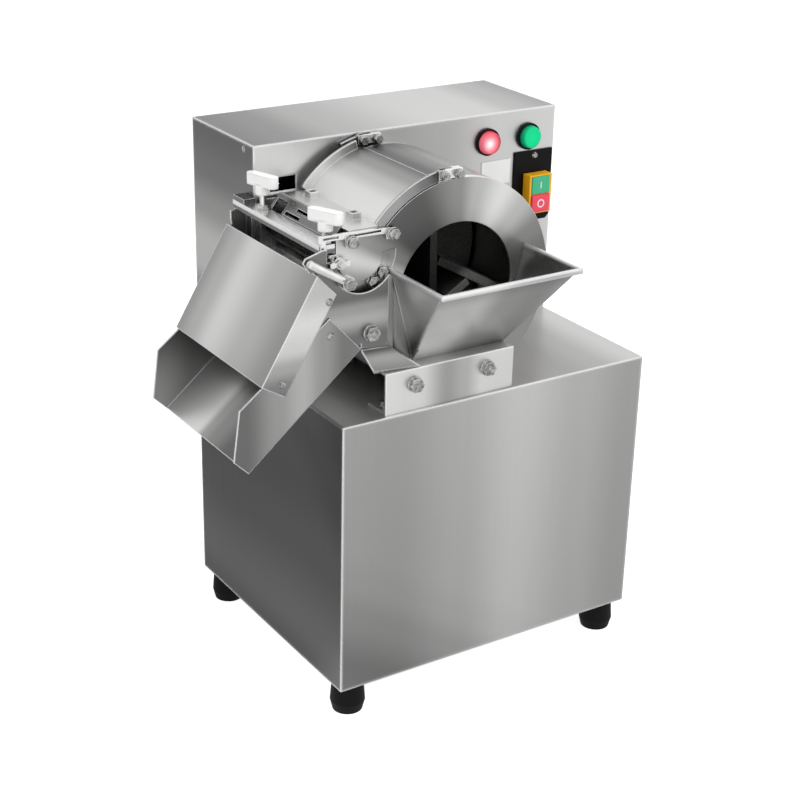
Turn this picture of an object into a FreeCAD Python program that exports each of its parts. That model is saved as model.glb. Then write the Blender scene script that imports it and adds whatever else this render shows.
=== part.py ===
import FreeCAD, Part
import math
import os
import Sketcher

# Vegetable cutting machine: a free-standing steel cabinet with a tower at the back, a horizontal
# cutting drum on the tower, a feed hopper in front of the drum and a discharge chute on the left.
# Millimetres. Pieces are drawn with the origin at the cabinet's front left bottom corner
# (x to the right, y to the back, z up) and then seated so that the machine stands on z = 0.

V = FreeCAD.Vector
doc = FreeCAD.newDocument("vegetable_cutter")
sheet = doc.addObject("Spreadsheet::Sheet", "Dim")
nodes = []


class Size:
    """A number that also remembers the sheet expression it comes from."""

    def __init__(self, text, value):
        self.text = text
        self.value = float(value)

    def joined(self, sign, other, value):
        return Size("(%s %s %s)" % (self.text, sign, as_size(other).text), value)

    def __add__(self, other):
        return self.joined("+", other, self.value + as_size(other).value)

    def __radd__(self, other):
        return as_size(other) + self

    def __sub__(self, other):
        return self.joined("-", other, self.value - as_size(other).value)

    def __rsub__(self, other):
        return as_size(other) - self

    def __mul__(self, other):
        return self.joined("*", other, self.value * as_size(other).value)

    def __rmul__(self, other):
        return as_size(other) * self

    def __truediv__(self, other):
        return self.joined("/", other, self.value / as_size(other).value)

    def __neg__(self):
        return as_size(0) - self


def as_size(number):
    if isinstance(number, Size):
        return number
    return Size("%.6f" % number, number)


def cosine(angle):
    angle = as_size(angle)
    return Size("cos(%s)" % angle.text, math.cos(math.radians(angle.value)))


def sine(angle):
    angle = as_size(angle)
    return Size("sin(%s)" % angle.text, math.sin(math.radians(angle.value)))


def tangent(angle):
    angle = as_size(angle)
    return Size("tan(%s)" % angle.text, math.tan(math.radians(angle.value)))


def size(alias, value):
    row = size.rows + 1
    size.rows = row
    sheet.set("A%d" % row, alias)
    sheet.set("B%d" % row, str(value))
    sheet.setAlias("B%d" % row, alias)
    return Size("Dim." + alias, value)


size.rows = 0

# Cabinet and tower.
cab_w = size("cab_w", 360)
cab_d = size("cab_d", 300)
cab_h = size("cab_h", 288)
tow_d = size("tow_d", 130)
tow_h = size("tow_h", 227)
wall = size("wall", 1.5)
flange = size("flange", 14)
pan_t = size("pan_t", 2)
foot_h = size("foot_h", 34)
foot_r = size("foot_r", 18)
foot_in = size("foot_in", 20)
tow_y = cab_d - tow_d
top_z = cab_h + tow_h

# Drum: axis, radii and the planes of its plates.
drum_x = size("drum_x", 137)
drum_up = size("drum_up", 108)
drum_z = cab_h + drum_up
drum_r = size("drum_r", 107.5)
shell_t = size("shell_t", 2)
feed_r = size("feed_r", 64.5)
plate_t = size("plate_t", 3)
drum_len = size("drum_len", 148)
cover_y = tow_y - drum_len
side_y = cover_y + plate_t
shell_y0 = side_y + plate_t
back_t = size("back_t", 13)
rear_y = tow_y - back_t
bore_r = size("bore_r", 91)
lobe_out = size("lobe_out", 107)
lobe_x = drum_x - lobe_out
lobe_up = size("lobe_up", 49)
lobe_z = drum_z + lobe_up
lobe_r = size("lobe_r", 24.5)
scoop_r = size("scoop_r", 34)
lobe_back_r = scoop_r + 3
lobe_side = size("lobe_side", 26)
lobe_left = lobe_x - lobe_side
lobe_roof = size("lobe_roof", 21)
lobe_top = lobe_z + lobe_roof
seam_deg = size("seam_deg", 102)
lip_deg = size("lip_deg", 140)
shell_end_deg = size("shell_end_deg", 161)
gap = size("gap", 0.3)

# Bolts.
m8_r = size("m8_r", 4)
m8_af = size("m8_af", 13)
m8_head = size("m8_head", 5.3)
m8_washer_r = size("m8_washer_r", 8)
m6_r = size("m6_r", 3)
m6_af = size("m6_af", 10)
m6_head = size("m6_head", 4)
m6_washer_r = size("m6_washer_r", 6)
m4_r = size("m4_r", 2)
m4_head_r = size("m4_head_r", 3.8)
m4_head = size("m4_head", 2.4)
washer_t = size("washer_t", 1.4)
play = size("play", 0.2)

# Chute: the tray follows one slope, the hood over it a steeper one.
chute_over = size("chute_over", 8)
chute_y0 = cover_y - chute_over
chute_back = size("chute_back", 16)
chute_y1 = tow_y + chute_back
sheet_t = size("sheet_t", 1.5)
tray_deg = size("tray_deg", 40.1)
tray_in = size("tray_in", 110)
tray_x = drum_x - tray_in
tray_down = size("tray_down", 38.8)
tray_z = drum_z - tray_down
tray_len = size("tray_len", 155)
tray_wall = size("tray_wall", 49.5)
mouth_x = size("mouth_x", 100)
mouth_up = size("mouth_up", 33.5)
mouth_z = cab_h + mouth_up
mouth_low_x = size("mouth_low_x", 106.5)
mouth_drop = size("mouth_drop", 16)
mouth_low_z = cab_h - mouth_drop
hood_deg = size("hood_deg", 59.2)
hood_x = size("hood_x", 20.5)
hood_up = size("hood_up", 41)
hood_z = drum_z + hood_up
hood_len = size("hood_len", 112.6)
hood_flange = size("hood_flange", 28)
side_gap = size("side_gap", 1.5)

# Feed hopper and the bracket under it.
rim_left = size("rim_left", 75.5)
rim_x0 = drum_x - rim_left
rim_right = size("rim_right", 79)
rim_x1 = drum_x + rim_right
rim_deep = size("rim_deep", 88)
rim_reach = rim_deep - cover_y
hop_h = size("hop_h", 97)
rim_w = size("rim_w", 3)
rim_h = size("rim_h", 5)
hop_t = size("hop_t", 1.5)
hop_left = size("hop_left", 49)
hop_x0 = drum_x - hop_left
hop_right = size("hop_right", 57)
hop_x1 = drum_x + hop_right
brk_left = size("brk_left", 89)
brk_x0 = drum_x - brk_left
brk_w = size("brk_w", 147)
brk_out = size("brk_out", 19)
brk_y = cover_y - brk_out
brk_t = size("brk_t", 2.5)
brk_h = size("brk_h", 43)
brk_foot = size("brk_foot", 31)
brk_z = cab_h + brk_h
rim_z = brk_z + hop_h
brk_bolt_z = size("brk_bolt_z", 27)
brk_bolt_in = size("brk_bolt_in", 32)
brk_bolt_gap = size("brk_bolt_gap", 83.5)

# Control panel on the tower's front.
lamp_r = size("lamp_r", 14.2)
lamp_hole_r = size("lamp_hole_r", 11)
ring_t = size("ring_t", 3.5)
lens_r = size("lens_r", 12.5)
lens_out = size("lens_out", 6.5)
lamp_down = size("lamp_down", 29.4)
lamp_z = top_z - lamp_down
red_in = size("red_in", 86.6)
red_x = cab_w - red_in
green_in = size("green_in", 34.3)
green_x = cab_w - green_in
switch_in = size("switch_in", 51)
switch_x = cab_w - switch_in
switch_w = size("switch_w", 49.5)
switch_down = size("switch_down", 123)
switch_z = top_z - switch_down
switch_h = size("switch_h", 77.5)
switch_t = size("switch_t", 2)
house_in = size("house_in", 12.5)
house_x = switch_x + house_in
house_w = size("house_w", 29)
house_up = size("house_up", 11.5)
house_z = switch_z + house_up
house_h = size("house_h", 42)
house_d = size("house_d", 13)
house_wall = size("house_wall", 2)
button_w = size("button_w", 23)
button_h = size("button_h", 18.6)
button_d = size("button_d", 9)
button_out = size("button_out", 1)
name_w = size("name_w", 37)
drum_side = drum_x + drum_r * 0.92
name_x = drum_side + (switch_x - drum_side - name_w) * 0.875
name_down = size("name_down", 77)
name_z = top_z - name_down
name_h = size("name_h", 26)
name_t = size("name_t", 0.8)

# Gate, discharge bar and the T screws on it.
pin_af = size("pin_af", 8)
pivot_out = size("pivot_out", 20)
pivot_x = drum_x - pivot_out
pivot_up = size("pivot_up", 5.3)
pivot_z = drum_z + drum_r + pivot_up
link_out = size("link_out", 3.2)
link_x = drum_x - link_out
link_r = size("link_r", 4.6)
link_t = size("link_t", 2.9)
eye_r = size("eye_r", 6.2)
gate_t = size("gate_t", 2)
rib_h = size("rib_h", 8.5)
rib_t = size("rib_t", 2.6)
lip_out = size("lip_out", 117)
lip_x = drum_x - lip_out
lip_z = lobe_top + gap
lug_out = size("lug_out", 93)
lug_x = drum_x - lug_out
lug_w = size("lug_w", 10.5)
lug_h = size("lug_h", 6.5)
lug_off = size("lug_off", 38)
bar_out = size("bar_out", 150.5)
bar_x0 = bar_out - drum_x
bar_w = size("bar_w", 16.5)
bar_up = size("bar_up", 60.4)
bar_z = drum_z + bar_up
bar_t = size("bar_t", 4)
rest_t = size("rest_t", 4)
bar_y0 = cover_y
bar_back = size("bar_back", 18)
bar_y1 = tow_y + bar_back
comb_back = size("comb_back", 50)
slot_y1 = tow_y - comb_back
tee_out = size("tee_out", 140)
tee_x = tee_out - drum_x
tee_front = size("tee_front", 7)
tee_y0 = cover_y + tee_front
tee_rear = size("tee_rear", 23.5)
tee_y1 = tow_y - tee_rear
tee_up = size("tee_up", 26.6)
tee_z = bar_z + tee_up
tee_len = size("tee_len", 37)
tee_h = size("tee_h", 11)
tee_w = size("tee_w", 11)
tee_drop = size("tee_drop", 3)
hub_r = size("hub_r", 7)
hub_h = size("hub_h", 8)
stem_r = size("stem_r", 3)

# Cutting parts.
tip_gap = size("tip_gap", 5)
imp_r = drum_r - tip_gap
imp_back = size("imp_back", 28)
imp_y = tow_y - imp_back
imp_t = size("imp_t", 5)
paddle_in = size("paddle_in", 20)
paddle_side = size("paddle_side", 11.5)
paddle_foot = size("paddle_foot", 50)
paddle_front = size("paddle_front", 16)
paddle_y = cover_y + paddle_front
paddle_t = size("paddle_t", 8)
paddle_deg = size("paddle_deg", -29)
shaft_r = size("shaft_r", 12.5)
knife_deg = size("knife_deg", 152)
knife_rake = size("knife_rake", 18)
knife_len = size("knife_len", 31)
knife_t = size("knife_t", 2)
rotor_out = size("rotor_out", 122)
rotor_x = drum_x - rotor_out
rotor_up = size("rotor_up", 41)
rotor_z = drum_z + rotor_up
rotor_r = size("rotor_r", 13.2)
rotor_hub_r = size("rotor_hub_r", 7)
rotor_shaft_r = size("rotor_shaft_r", 4)
nut_out = size("nut_out", 133.5)
nut_x = drum_x - nut_out
nut_up = size("nut_up", 47.5)
nut_z = drum_z + nut_up

# Drive inside the housing.
pulley_r = size("pulley_r", 80)
pulley_w = size("pulley_w", 20)
pulley_back = size("pulley_back", 76)
pulley_y = tow_y + pulley_back
motor_right = size("motor_right", 13)
motor_x = drum_x + motor_right
motor_z = size("motor_z", 150)
motor_r = size("motor_r", 58)
motor_len = size("motor_len", 150)
motor_y0 = pulley_y - motor_len - 24
motor_y1 = motor_y0 + motor_len
motor_pulley_r = size("motor_pulley_r", 30)
motor_shaft_r = size("motor_shaft_r", 9.5)
belt_t = size("belt_t", 8)
belt_w = size("belt_w", 13)
sync_back = size("sync_back", 100)
sync_y = tow_y + sync_back
sync_w = size("sync_w", 12)
sync_r = size("sync_r", 19)
sync_small_r = size("sync_small_r", 9)
sync_t = size("sync_t", 2)

# Offsets measured from the photograph are written for this drum and follow its radius.
unit = drum_r / 107.5

# The machine is centred on the origin, from the chute's mouth to the cabinet's right side and
# from the hopper's rim to the cable gland on the back cover.
gland_out = size("gland_out", 22)
left_end = -mouth_low_x
front_end = -(rim_reach + rim_w / 2)
back_end = cab_d + wall + gland_out
mid_x = (cab_w + left_end) / 2
mid_y = (back_end + front_end) / 2
doc.recompute()


def drive(thing, prop, amount):
    amount = as_size(amount)
    if hasattr(thing, prop):
        setattr(thing, prop, amount.value)
    thing.setExpression(prop, amount.text)


def seat(thing, x, y, z, turn=None):
    x = as_size(x)
    y = as_size(y)
    z = as_size(z)
    turn = turn or FreeCAD.Rotation()
    thing.Placement = FreeCAD.Placement(V(x.value, y.value, z.value), turn)
    thing.setExpression("Placement.Base.x", x.text)
    thing.setExpression("Placement.Base.y", y.text)
    thing.setExpression("Placement.Base.z", z.text)
    return thing


def box(name, x0, x1, y0, y1, z0, z1):
    thing = doc.addObject("Part::Box", name)
    drive(thing, "Length", as_size(x1) - x0)
    drive(thing, "Width", as_size(y1) - y0)
    drive(thing, "Height", as_size(z1) - z0)
    return seat(thing, x0, y0, z0)


ALONG_Y = FreeCAD.Rotation(V(1, 0, 0), -90)
ALONG_X = FreeCAD.Rotation(V(0, 1, 0), 90)
UPRIGHT = FreeCAD.Rotation()


def rod(name, x, y, z, radius, length, turn=ALONG_Y):
    thing = doc.addObject("Part::Cylinder", name)
    drive(thing, "Radius", radius)
    drive(thing, "Height", length)
    return seat(thing, x, y, z, turn)


def cone(name, x, y, z, r1, r2, length, turn=ALONG_Y):
    thing = doc.addObject("Part::Cone", name)
    drive(thing, "Radius1", r1)
    drive(thing, "Radius2", r2)
    drive(thing, "Height", length)
    return seat(thing, x, y, z, turn)


def hexagon(name, x, y, z, across, length, turn=ALONG_Y):
    thing = doc.addObject("Part::Prism", name)
    thing.Polygon = 6
    drive(thing, "Circumradius", as_size(across) / math.sqrt(3))
    drive(thing, "Height", length)
    return seat(thing, x, y, z, turn)


def fuse(name, parts):
    thing = doc.addObject("Part::MultiFuse", name)
    thing.Shapes = parts
    thing.Refine = True
    return thing


def cut(name, base, tools):
    tool = tools[0]
    if len(tools) > 1:
        tool = doc.addObject("Part::MultiFuse", name + "_tools")
        tool.Shapes = tools
    thing = doc.addObject("Part::Cut", name)
    thing.Base = base
    thing.Tool = tool
    thing.Refine = True
    return thing


def common(name, one, other):
    thing = doc.addObject("Part::Common", name)
    thing.Base = one
    thing.Tool = other
    return thing


def ring(name, x, y, z, outer, inner, length):
    return cut(name, rod(name + "_outer", x, y, z, outer, length),
               [rod(name + "_inner", x, y - 1, z, inner, as_size(length) + 2)])


def origin_plane(body, role):
    for item in body.Origin.OriginFeatures:
        if item.Role == role:
            return item
    raise ValueError(role)


def fix_point(sketch, geo, pos, x, y, tag):
    rules = [Sketcher.Constraint("DistanceX", -1, 1, geo, pos, as_size(x).value)]
    rules.append(Sketcher.Constraint("DistanceY", -1, 1, geo, pos, as_size(y).value))
    first = sketch.ConstraintCount
    sketch.addConstraint(rules)
    for step, amount in enumerate((x, y)):
        label = "%s%s" % ("xy"[step], tag)
        sketch.renameConstraint(first + step, label)
        sketch.setExpression("Constraints." + label, as_size(amount).text)


def outline(sketch, points):
    count = len(points)
    places = [V(as_size(x).value, as_size(y).value, 0) for x, y in points]
    for step in range(count):
        sketch.addGeometry(Part.LineSegment(places[step], places[(step + 1) % count]), False)
    joins = [Sketcher.Constraint("Coincident", step, 2, (step + 1) % count, 1)
             for step in range(count)]
    sketch.addConstraint(joins)
    for step, (x, y) in enumerate(points):
        fix_point(sketch, step, 1, x, y, "p%d" % step)


def opening(sketch, x, y, radius):
    centre = V(as_size(x).value, as_size(y).value, 0)
    circle = Part.Circle(centre, V(0, 0, 1), as_size(radius).value)
    geo = sketch.addGeometry(circle, False)
    fix_point(sketch, geo, 3, x, y, "c%d" % geo)
    spot = sketch.ConstraintCount
    sketch.addConstraint(Sketcher.Constraint("Radius", geo, as_size(radius).value))
    sketch.renameConstraint(spot, "r%d" % geo)
    sketch.setExpression("Constraints.r%d" % geo, as_size(radius).text)


def slab(name, plane, start, end, points, holes=()):
    """A body padded between two planes from a polygon outline with round holes."""
    body = doc.addObject("PartDesign::Body", name)
    sketch = body.newObject("Sketcher::SketchObject", name + "_sketch")
    sketch.AttachmentSupport = (origin_plane(body, plane), [""])
    sketch.MapMode = "FlatFace"
    offset = as_size(start)
    if plane == "XZ_Plane":
        offset = -as_size(end)
    sketch.AttachmentOffset = FreeCAD.Placement(V(0, 0, offset.value), UPRIGHT)
    sketch.setExpression("AttachmentOffset.Base.z", offset.text)
    outline(sketch, points)
    for hole in holes:
        opening(sketch, *hole)
    pad = body.newObject("PartDesign::Pad", name + "_pad")
    pad.Profile = sketch
    drive(pad, "Length", as_size(end) - start)
    sketch.Visibility = False
    return body


def front_slab(name, y0, y1, points, holes=()):
    return slab(name, "XZ_Plane", y0, y1, points, holes)


def flat_slab(name, z0, z1, points, holes=()):
    return slab(name, "XY_Plane", z0, z1, points, holes)


def side_slab(name, x0, x1, points, holes=()):
    return slab(name, "YZ_Plane", x0, x1, points, holes)


def rect(x0, y0, x1, y1):
    return [(x0, y0), (x1, y0), (x1, y1), (x0, y1)]


def node(label, thing):
    """Names a finished piece and seats it from the cabinet's corner to the machine's centre."""
    thing.Label = label
    seat(thing, -mid_x, -mid_y, foot_h)
    nodes.append(thing)


def group(label, parts):
    thing = doc.addObject("Part::Compound", label + "_set")
    thing.Links = parts
    node(label, thing)


def near(x, z, *offset):
    """A measured offset from a point, in the plane of the drum's front."""
    return (x + unit * offset[0], z + unit * offset[1])


def polar(radius, degrees, x=drum_x, z=drum_z):
    return (x + radius * cosine(degrees), z + radius * sine(degrees))


def hex_bolt(name, x, y, z, radius, across, head, washer_r, length):
    """A hex bolt with washer that enters at the plane y and points to the back."""
    parts = [hexagon(name + "_head", x, y - washer_t - head, z, across, head)]
    parts.append(rod(name + "_washer", x, y - washer_t, z, washer_r, washer_t))
    parts.append(rod(name + "_shank", x, y - washer_t, z, radius, length + washer_t))
    return fuse(name, parts)


def m6_bolt(name, x, y, z, length):
    return hex_bolt(name, x, y, z, m6_r, m6_af, m6_head, m6_washer_r, length)


def m8_bolt(name, x, y, z, length):
    return hex_bolt(name, x, y, z, m8_r, m8_af, m8_head, m8_washer_r, length)


def pan_screw(name, x, y, z, length, turn=ALONG_Y):
    """A domed M4 screw; the head lies on the plane and the shank goes along the turned axis."""
    head = cone(name + "_head", x, y, z, m4_head_r * 0.55, m4_head_r, m4_head, turn)
    axis = turn.multVec(V(0, 0, 1))
    back = [as_size(x) - m4_head * axis.x, as_size(y) - m4_head * axis.y]
    back.append(as_size(z) - m4_head * axis.z)
    seat(head, back[0], back[1], back[2], turn)
    shank = rod(name + "_shank", x, y, z, m4_r, length, turn)
    return fuse(name, [head, shank])


def housing_shell():
    low = box("shell_low", 0, cab_w, 0, cab_d, 0, cab_h)
    tall = box("shell_tall", 0, cab_w, tow_y, cab_d, 0, top_z)
    in_low = box("shell_in_low", wall, cab_w - wall, wall, cab_d - wall, wall, cab_h - wall)
    in_tall = box("shell_in_tall", wall, cab_w - wall, tow_y + wall, cab_d - wall, wall,
                  top_z - wall)
    rear = box("shell_rear", flange, cab_w - flange, cab_d - wall * 2, cab_d + 1, flange,
               top_z - flange)
    floor = box("shell_floor", flange * 2, cab_w - flange * 2, flange * 2, cab_d - flange * 2,
                -1, wall * 2)
    holes = [in_low, in_tall, rear, floor]
    holes.append(rod("shell_shaft", drum_x, tow_y - 1, drum_z, shaft_r + 4, wall + 2))
    holes.append(rod("shell_rotor", rotor_x, tow_y - 1, rotor_z, 13 + gap, wall + 2))
    holes.append(rod("shell_red", red_x, tow_y - 1, lamp_z, lamp_hole_r + play, wall + 2))
    holes.append(rod("shell_green", green_x, tow_y - 1, lamp_z, lamp_hole_r + play, wall + 2))
    holes.append(box("shell_switch", house_x + house_wall, house_x + house_w - house_wall,
                     tow_y - 1, tow_y + wall + 1, house_z + house_wall,
                     house_z + house_h - house_wall))
    for step, (x, z) in enumerate(drum_bolts() + bearing_bolts()):
        holes.append(rod("shell_bolt%d" % step, x, tow_y - 1, z, m8_r + play, wall + 2))
    for step, (x, y) in enumerate(foot_places()):
        holes.append(rod("shell_foot%d" % step, x, y, -1, m8_r + play, wall + 2, UPRIGHT))
    for step, x in enumerate(foot_bolts()):
        holes.append(rod("shell_brk%d" % step, x, brk_y + brk_foot / 2, cab_h - wall - 1,
                         m6_r + play, wall + 2, UPRIGHT))
    holes.append(box("shell_window", lobe_x - 24, lobe_x + 16, tow_y - 1, tow_y + wall + 1, lip_z + 1, lip_z + 15))
    for step, (x, z) in enumerate(cover_screws()):
        holes.append(rod("shell_screw%d" % step, x, cab_d - wall - 1, z, m4_r + play, wall + 2))
    holes.append(rod("shell_switch_screw", switch_x + 26, tow_y - 1, switch_z + switch_h - 5.5,
                     m4_r + play, wall + 2))
    holes.append(rod("shell_notch", -1, cab_d - tow_d + 20, top_z - 7, 1.6, wall + 2, ALONG_X))
    shell = cut("shell_cut", fuse("shell_body", [low, tall]), holes)
    node("housing_shell", shell)


def foot_places():
    return [(x, y) for x in (foot_in, cab_w - foot_in) for y in (foot_in, cab_d - foot_in)]


def foot_bolts():
    return [brk_x0 + 10, brk_x0 + brk_w - 10]


def ring_places(radius, first):
    return [polar(radius, first + 90 * step) for step in range(4)]


def drum_bolts():
    return ring_places(drum_r - 24, 45)


def bearing_bolts():
    return ring_places(shaft_r * 3.4, 0)


def bottom_pan():
    gap_in = wall + play
    pan = flat_slab("pan", wall, wall + pan_t, rect(gap_in, gap_in, cab_w - gap_in,
                                                    cab_d - wall * 2),
                    [(x, y, m8_r + play) for x, y in foot_places()])
    node("bottom_pan", pan)


def louvre_holes(name, x0, z0, count):
    holes = []
    for step in range(count):
        z = z0 + step * 12
        holes.append(box("%s%d" % (name, step), x0, x0 + 90, cab_d - 1, cab_d + 3, z, z + 4))
    return holes


def rear_cover():
    y0 = cab_d
    plate = box("rear_plate", 2, cab_w - 2, y0, y0 + wall, 2, top_z - 2)
    holes = louvre_holes("rear_low", 60, 60, 6)
    holes += louvre_holes("rear_side", cab_w - 150, 110, 6)
    holes += louvre_holes("rear_top", 60, top_z - 135, 5)
    holes.append(rod("rear_gland", gland_x(), y0 - 1, gland_z(), 10 + play, wall + 2))
    for step, (x, z) in enumerate(cover_screws()):
        holes.append(rod("rear_screw%d" % step, x, y0 - 1, z, m4_r + play, wall + 2))
    node("rear_cover", cut("rear_cut", plate, holes))


def cover_screws():
    return [(x, z) for x in (flange / 2, cab_w - flange / 2)
            for z in (20, top_z / 2, top_z - flange / 2)]


def gland_x():
    return cab_w - 60


def gland_z():
    return flange * 2 + 18


def cable_gland():
    x = gland_x()
    z = gland_z()
    parts = [rod("gland_thread", x, cab_d - 12, z, 10, wall + 13)]
    parts.append(hexagon("gland_nut", x, cab_d - 5, z, 27, 5))
    parts.append(hexagon("gland_body", x, cab_d + wall, z, 24, 8))
    parts.append(cone("gland_cap", x, cab_d + wall + 8, z, 11.5, 9, gland_out - 8))
    body = fuse("gland_solid", parts)
    node("cable_gland", cut("gland_cut", body, [
        rod("gland_bore", x, cab_d - 13, z, 5, gland_out + 30)]))


def rubber_feet():
    feet = []
    studs = []
    for step, (x, y) in enumerate(foot_places()):
        tag = "foot%d" % step
        base = cone(tag + "_base", x, y, -foot_h, foot_r * 0.86, foot_r, foot_h * 0.3, UPRIGHT)
        body = cone(tag + "_top", x, y, -foot_h * 0.7, foot_r, foot_r * 0.9, foot_h * 0.7,
                    UPRIGHT)
        bore = rod(tag + "_bore", x, y, -foot_h * 0.5, m8_r + gap, foot_h, UPRIGHT)
        feet.append(cut(tag, fuse(tag + "_body", [base, body]), [bore]))
        shank = rod(tag + "_shank", x, y, -foot_h * 0.5, m8_r, foot_h * 0.5 + 14, UPRIGHT)
        nut = hexagon(tag + "_nut", x, y, wall + pan_t, m8_af, 6.5, UPRIGHT)
        studs.append(fuse(tag + "_stud", [shank, nut]))
    group("rubber_feet", feet)
    return studs


def motor():
    """The induction motor with its cowl, terminal box, shaft with fan and folded base."""
    length = motor_y1 - motor_y0
    body = [rod("motor_can", motor_x, motor_y0, motor_z, motor_r, length)]
    for step in range(18):
        turn = FreeCAD.Rotation(V(0, 1, 0), 20 * step)
        fin = box("motor_fin%d" % step, -1.2, 1.2, motor_y0 + 12, motor_y1 - 12, motor_r - 1,
                  motor_r + 5)
        fin.Placement = FreeCAD.Placement(V(-1.2, (motor_y0 + 12).value, motor_r.value - 1),
                                          FreeCAD.Rotation())
        fins = doc.addObject("Part::Compound", "motor_fin_turn%d" % step)
        fins.Links = [fin]
        seat(fins, motor_x, 0, motor_z, turn)
        if step not in (4, 5, 8, 9, 10):
            body.append(fins)
    for x in (motor_x - 58, motor_x + 18):
        body.append(box("motor_leg%d" % int(x.value), x, x + 40, motor_y0 + 20, motor_y1 - 20,
                        motor_z - motor_r - 4, motor_z - motor_r + 8))
    solid = fuse("motor_solid", body)
    bores = [rod("motor_bore", motor_x, motor_y0 - 1, motor_z, motor_shaft_r + 0.05, length + 2)]
    for step, (x, y) in enumerate(motor_bolts()):
        bores.append(rod("motor_hole%d" % step, x, y, motor_z - motor_r - 5, m8_r + play,
                         motor_r * 0.3 + 8, UPRIGHT))
    node("motor_body", cut("motor_cut", solid, bores))
    cowl = rod("cowl_out", motor_x, motor_y0 - 26, motor_z, motor_r, 26)
    inside = rod("cowl_in", motor_x, motor_y0 - 24, motor_z, motor_r - 2, 25)
    slots = [inside]
    for step in range(8):
        x, z = polar(motor_r * 0.6, 45 * step, motor_x, motor_z)
        slots.append(rod("cowl_slot%d" % step, x, motor_y0 - 27, z, 6, 5))
    node("motor_fan_cowl", cut("cowl_cut", cowl, slots))
    term = box("term_box", motor_x + motor_r * 0.9, motor_x + motor_r + 32, motor_y0 + 45,
               motor_y0 + 105, motor_z - 28, motor_z + 28)
    node("motor_terminal_box", cut("term_cut", term, [
        rod("term_can", motor_x, motor_y0 + 40, motor_z, motor_r, 70)]))
    parts = [rod("mshaft_rod", motor_x, motor_y0 - 18, motor_z, motor_shaft_r,
                 motor_y1 - motor_y0 + 60)]
    parts.append(rod("fan_disc", motor_x, motor_y0 - 8, motor_z, motor_r - 8, 3))
    for step in range(6):
        x, z = polar(motor_r * 0.5, 60 * step, motor_x, motor_z)
        parts.append(rod("fan_blade%d" % step, x, motor_y0 - 18, z, 5, 11))
    node("motor_rotor", fuse("motor_rotor_solid", parts))
    top = motor_z - motor_r - 4
    x0 = motor_x - 62
    x1 = motor_x + 62
    low = wall + pan_t
    profile = [(x0 - 16, low), (x0 + 3, low), (x0 + 3, top - 3), (x1 - 3, top - 3), (x1 - 3, low),
               (x1 + 16, low), (x1 + 16, low + 3), (x1, low + 3), (x1, top), (x0, top),
               (x0, low + 3), (x0 - 16, low + 3)]
    base = front_slab("motor_saddle", motor_y0 + 8, motor_y1 - 8, profile)
    holes = [rod("saddle_hole%d" % step, x, y, top - 4, m8_r + play, 5, UPRIGHT)
             for step, (x, y) in enumerate(motor_bolts())]
    node("motor_base", cut("saddle_cut", base, holes))


def motor_bolts():
    return [(motor_x + dx, y) for dx in (-48, 48) for y in (motor_y0 + 32, motor_y1 - 32)]


def grooved_pulley(name, x, z, radius, bore):
    """A pulley with one V groove; half of its width lies on each side of the belt's plane."""
    wheel = rod(name + "_wheel", x, pulley_y - pulley_w / 2, z, radius, pulley_w)
    half = belt_w * 0.27 + gap
    floor = radius - belt_t - 1
    groove = [ring(name + "_groove", x, pulley_y - half, z, radius + 1, floor, half * 2)]
    for step, sides in enumerate(((0, 1), (1, 0))):
        y = pulley_y - half + (step * 2 - 1) * 1.5 * (1 - step) + step * half * 2
        outer = rod("%s_band%d" % (name, step), x, y, z, radius + 1, 1.5)
        radii = [floor + 4 + (belt_t - 2) * side for side in sides]
        core = cone("%s_core%d" % (name, step), x, y, z, radii[1], radii[0], 1.5)
        groove.append(cut("%s_vee%d" % (name, step), outer, [core]))
    hole = rod(name + "_bore", x, pulley_y - pulley_w / 2 - 1, z, bore, pulley_w + 2)
    return cut(name, wheel, groove + [hole])


def pulleys():
    node("main_pulley", grooved_pulley("big_pulley", drum_x, drum_z, pulley_r, shaft_r + 0.02))
    node("motor_pulley", grooved_pulley("small_pulley", motor_x, motor_z, motor_pulley_r,
                                        motor_shaft_r + 0.02))


def loop(name, x0, z0, r0, x1, z1, r1, thick, y, width):
    """A belt round two wheels: two arcs and two flat runs along the common tangents."""
    dx = x1.value - x0.value
    dz = z1.value - z0.value
    span = math.hypot(dx, dz)
    base = math.degrees(math.atan2(dz, dx))
    lean = math.degrees(math.acos((r0.value - r1.value) / span))

    def hull(tag, grow, y0, wide):
        a = r0.value + grow
        b = r1.value + grow
        points = []
        for x, z, r in ((x0, z0, a), (x1, z1, b)):
            for side in (lean, -lean):
                turn = math.radians(base + side)
                points.append(V(x.value + r * math.cos(turn), y0, z.value + r * math.sin(turn)))
        order = [points[0], points[2], points[3], points[1]]
        face = Part.Face(Part.makePolygon(order + [order[0]]))
        shape = face.extrude(V(0, wide, 0))
        for x, z, r in ((x0, z0, a), (x1, z1, b)):
            disc = Part.makeCylinder(r, wide, V(x.value, y0, z.value), V(0, 1, 0))
            shape = shape.fuse(disc)
        return shape.removeSplitter()

    y0 = as_size(y).value
    wide = as_size(width).value
    outer = hull("outer", gap.value + as_size(thick).value, y0, wide)
    inner = hull("inner", gap.value, y0 - 1, wide + 2)
    belt = doc.addObject("Part::Feature", name)
    belt.Shape = outer.cut(inner)
    return belt


def belts():
    drive_belt = loop("vee_loop", drum_x, drum_z, pulley_r - belt_t + 0.5, motor_x, motor_z,
                      motor_pulley_r - belt_t + 0.5, belt_t - 1, pulley_y - belt_w * 0.27,
                      belt_w * 0.54)
    node("drive_belt", drive_belt)
    node("rotor_belt", loop("sync_loop", drum_x, drum_z, sync_r, rotor_x, rotor_z, sync_small_r,
                            sync_t, sync_y, sync_w - 3))


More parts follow.
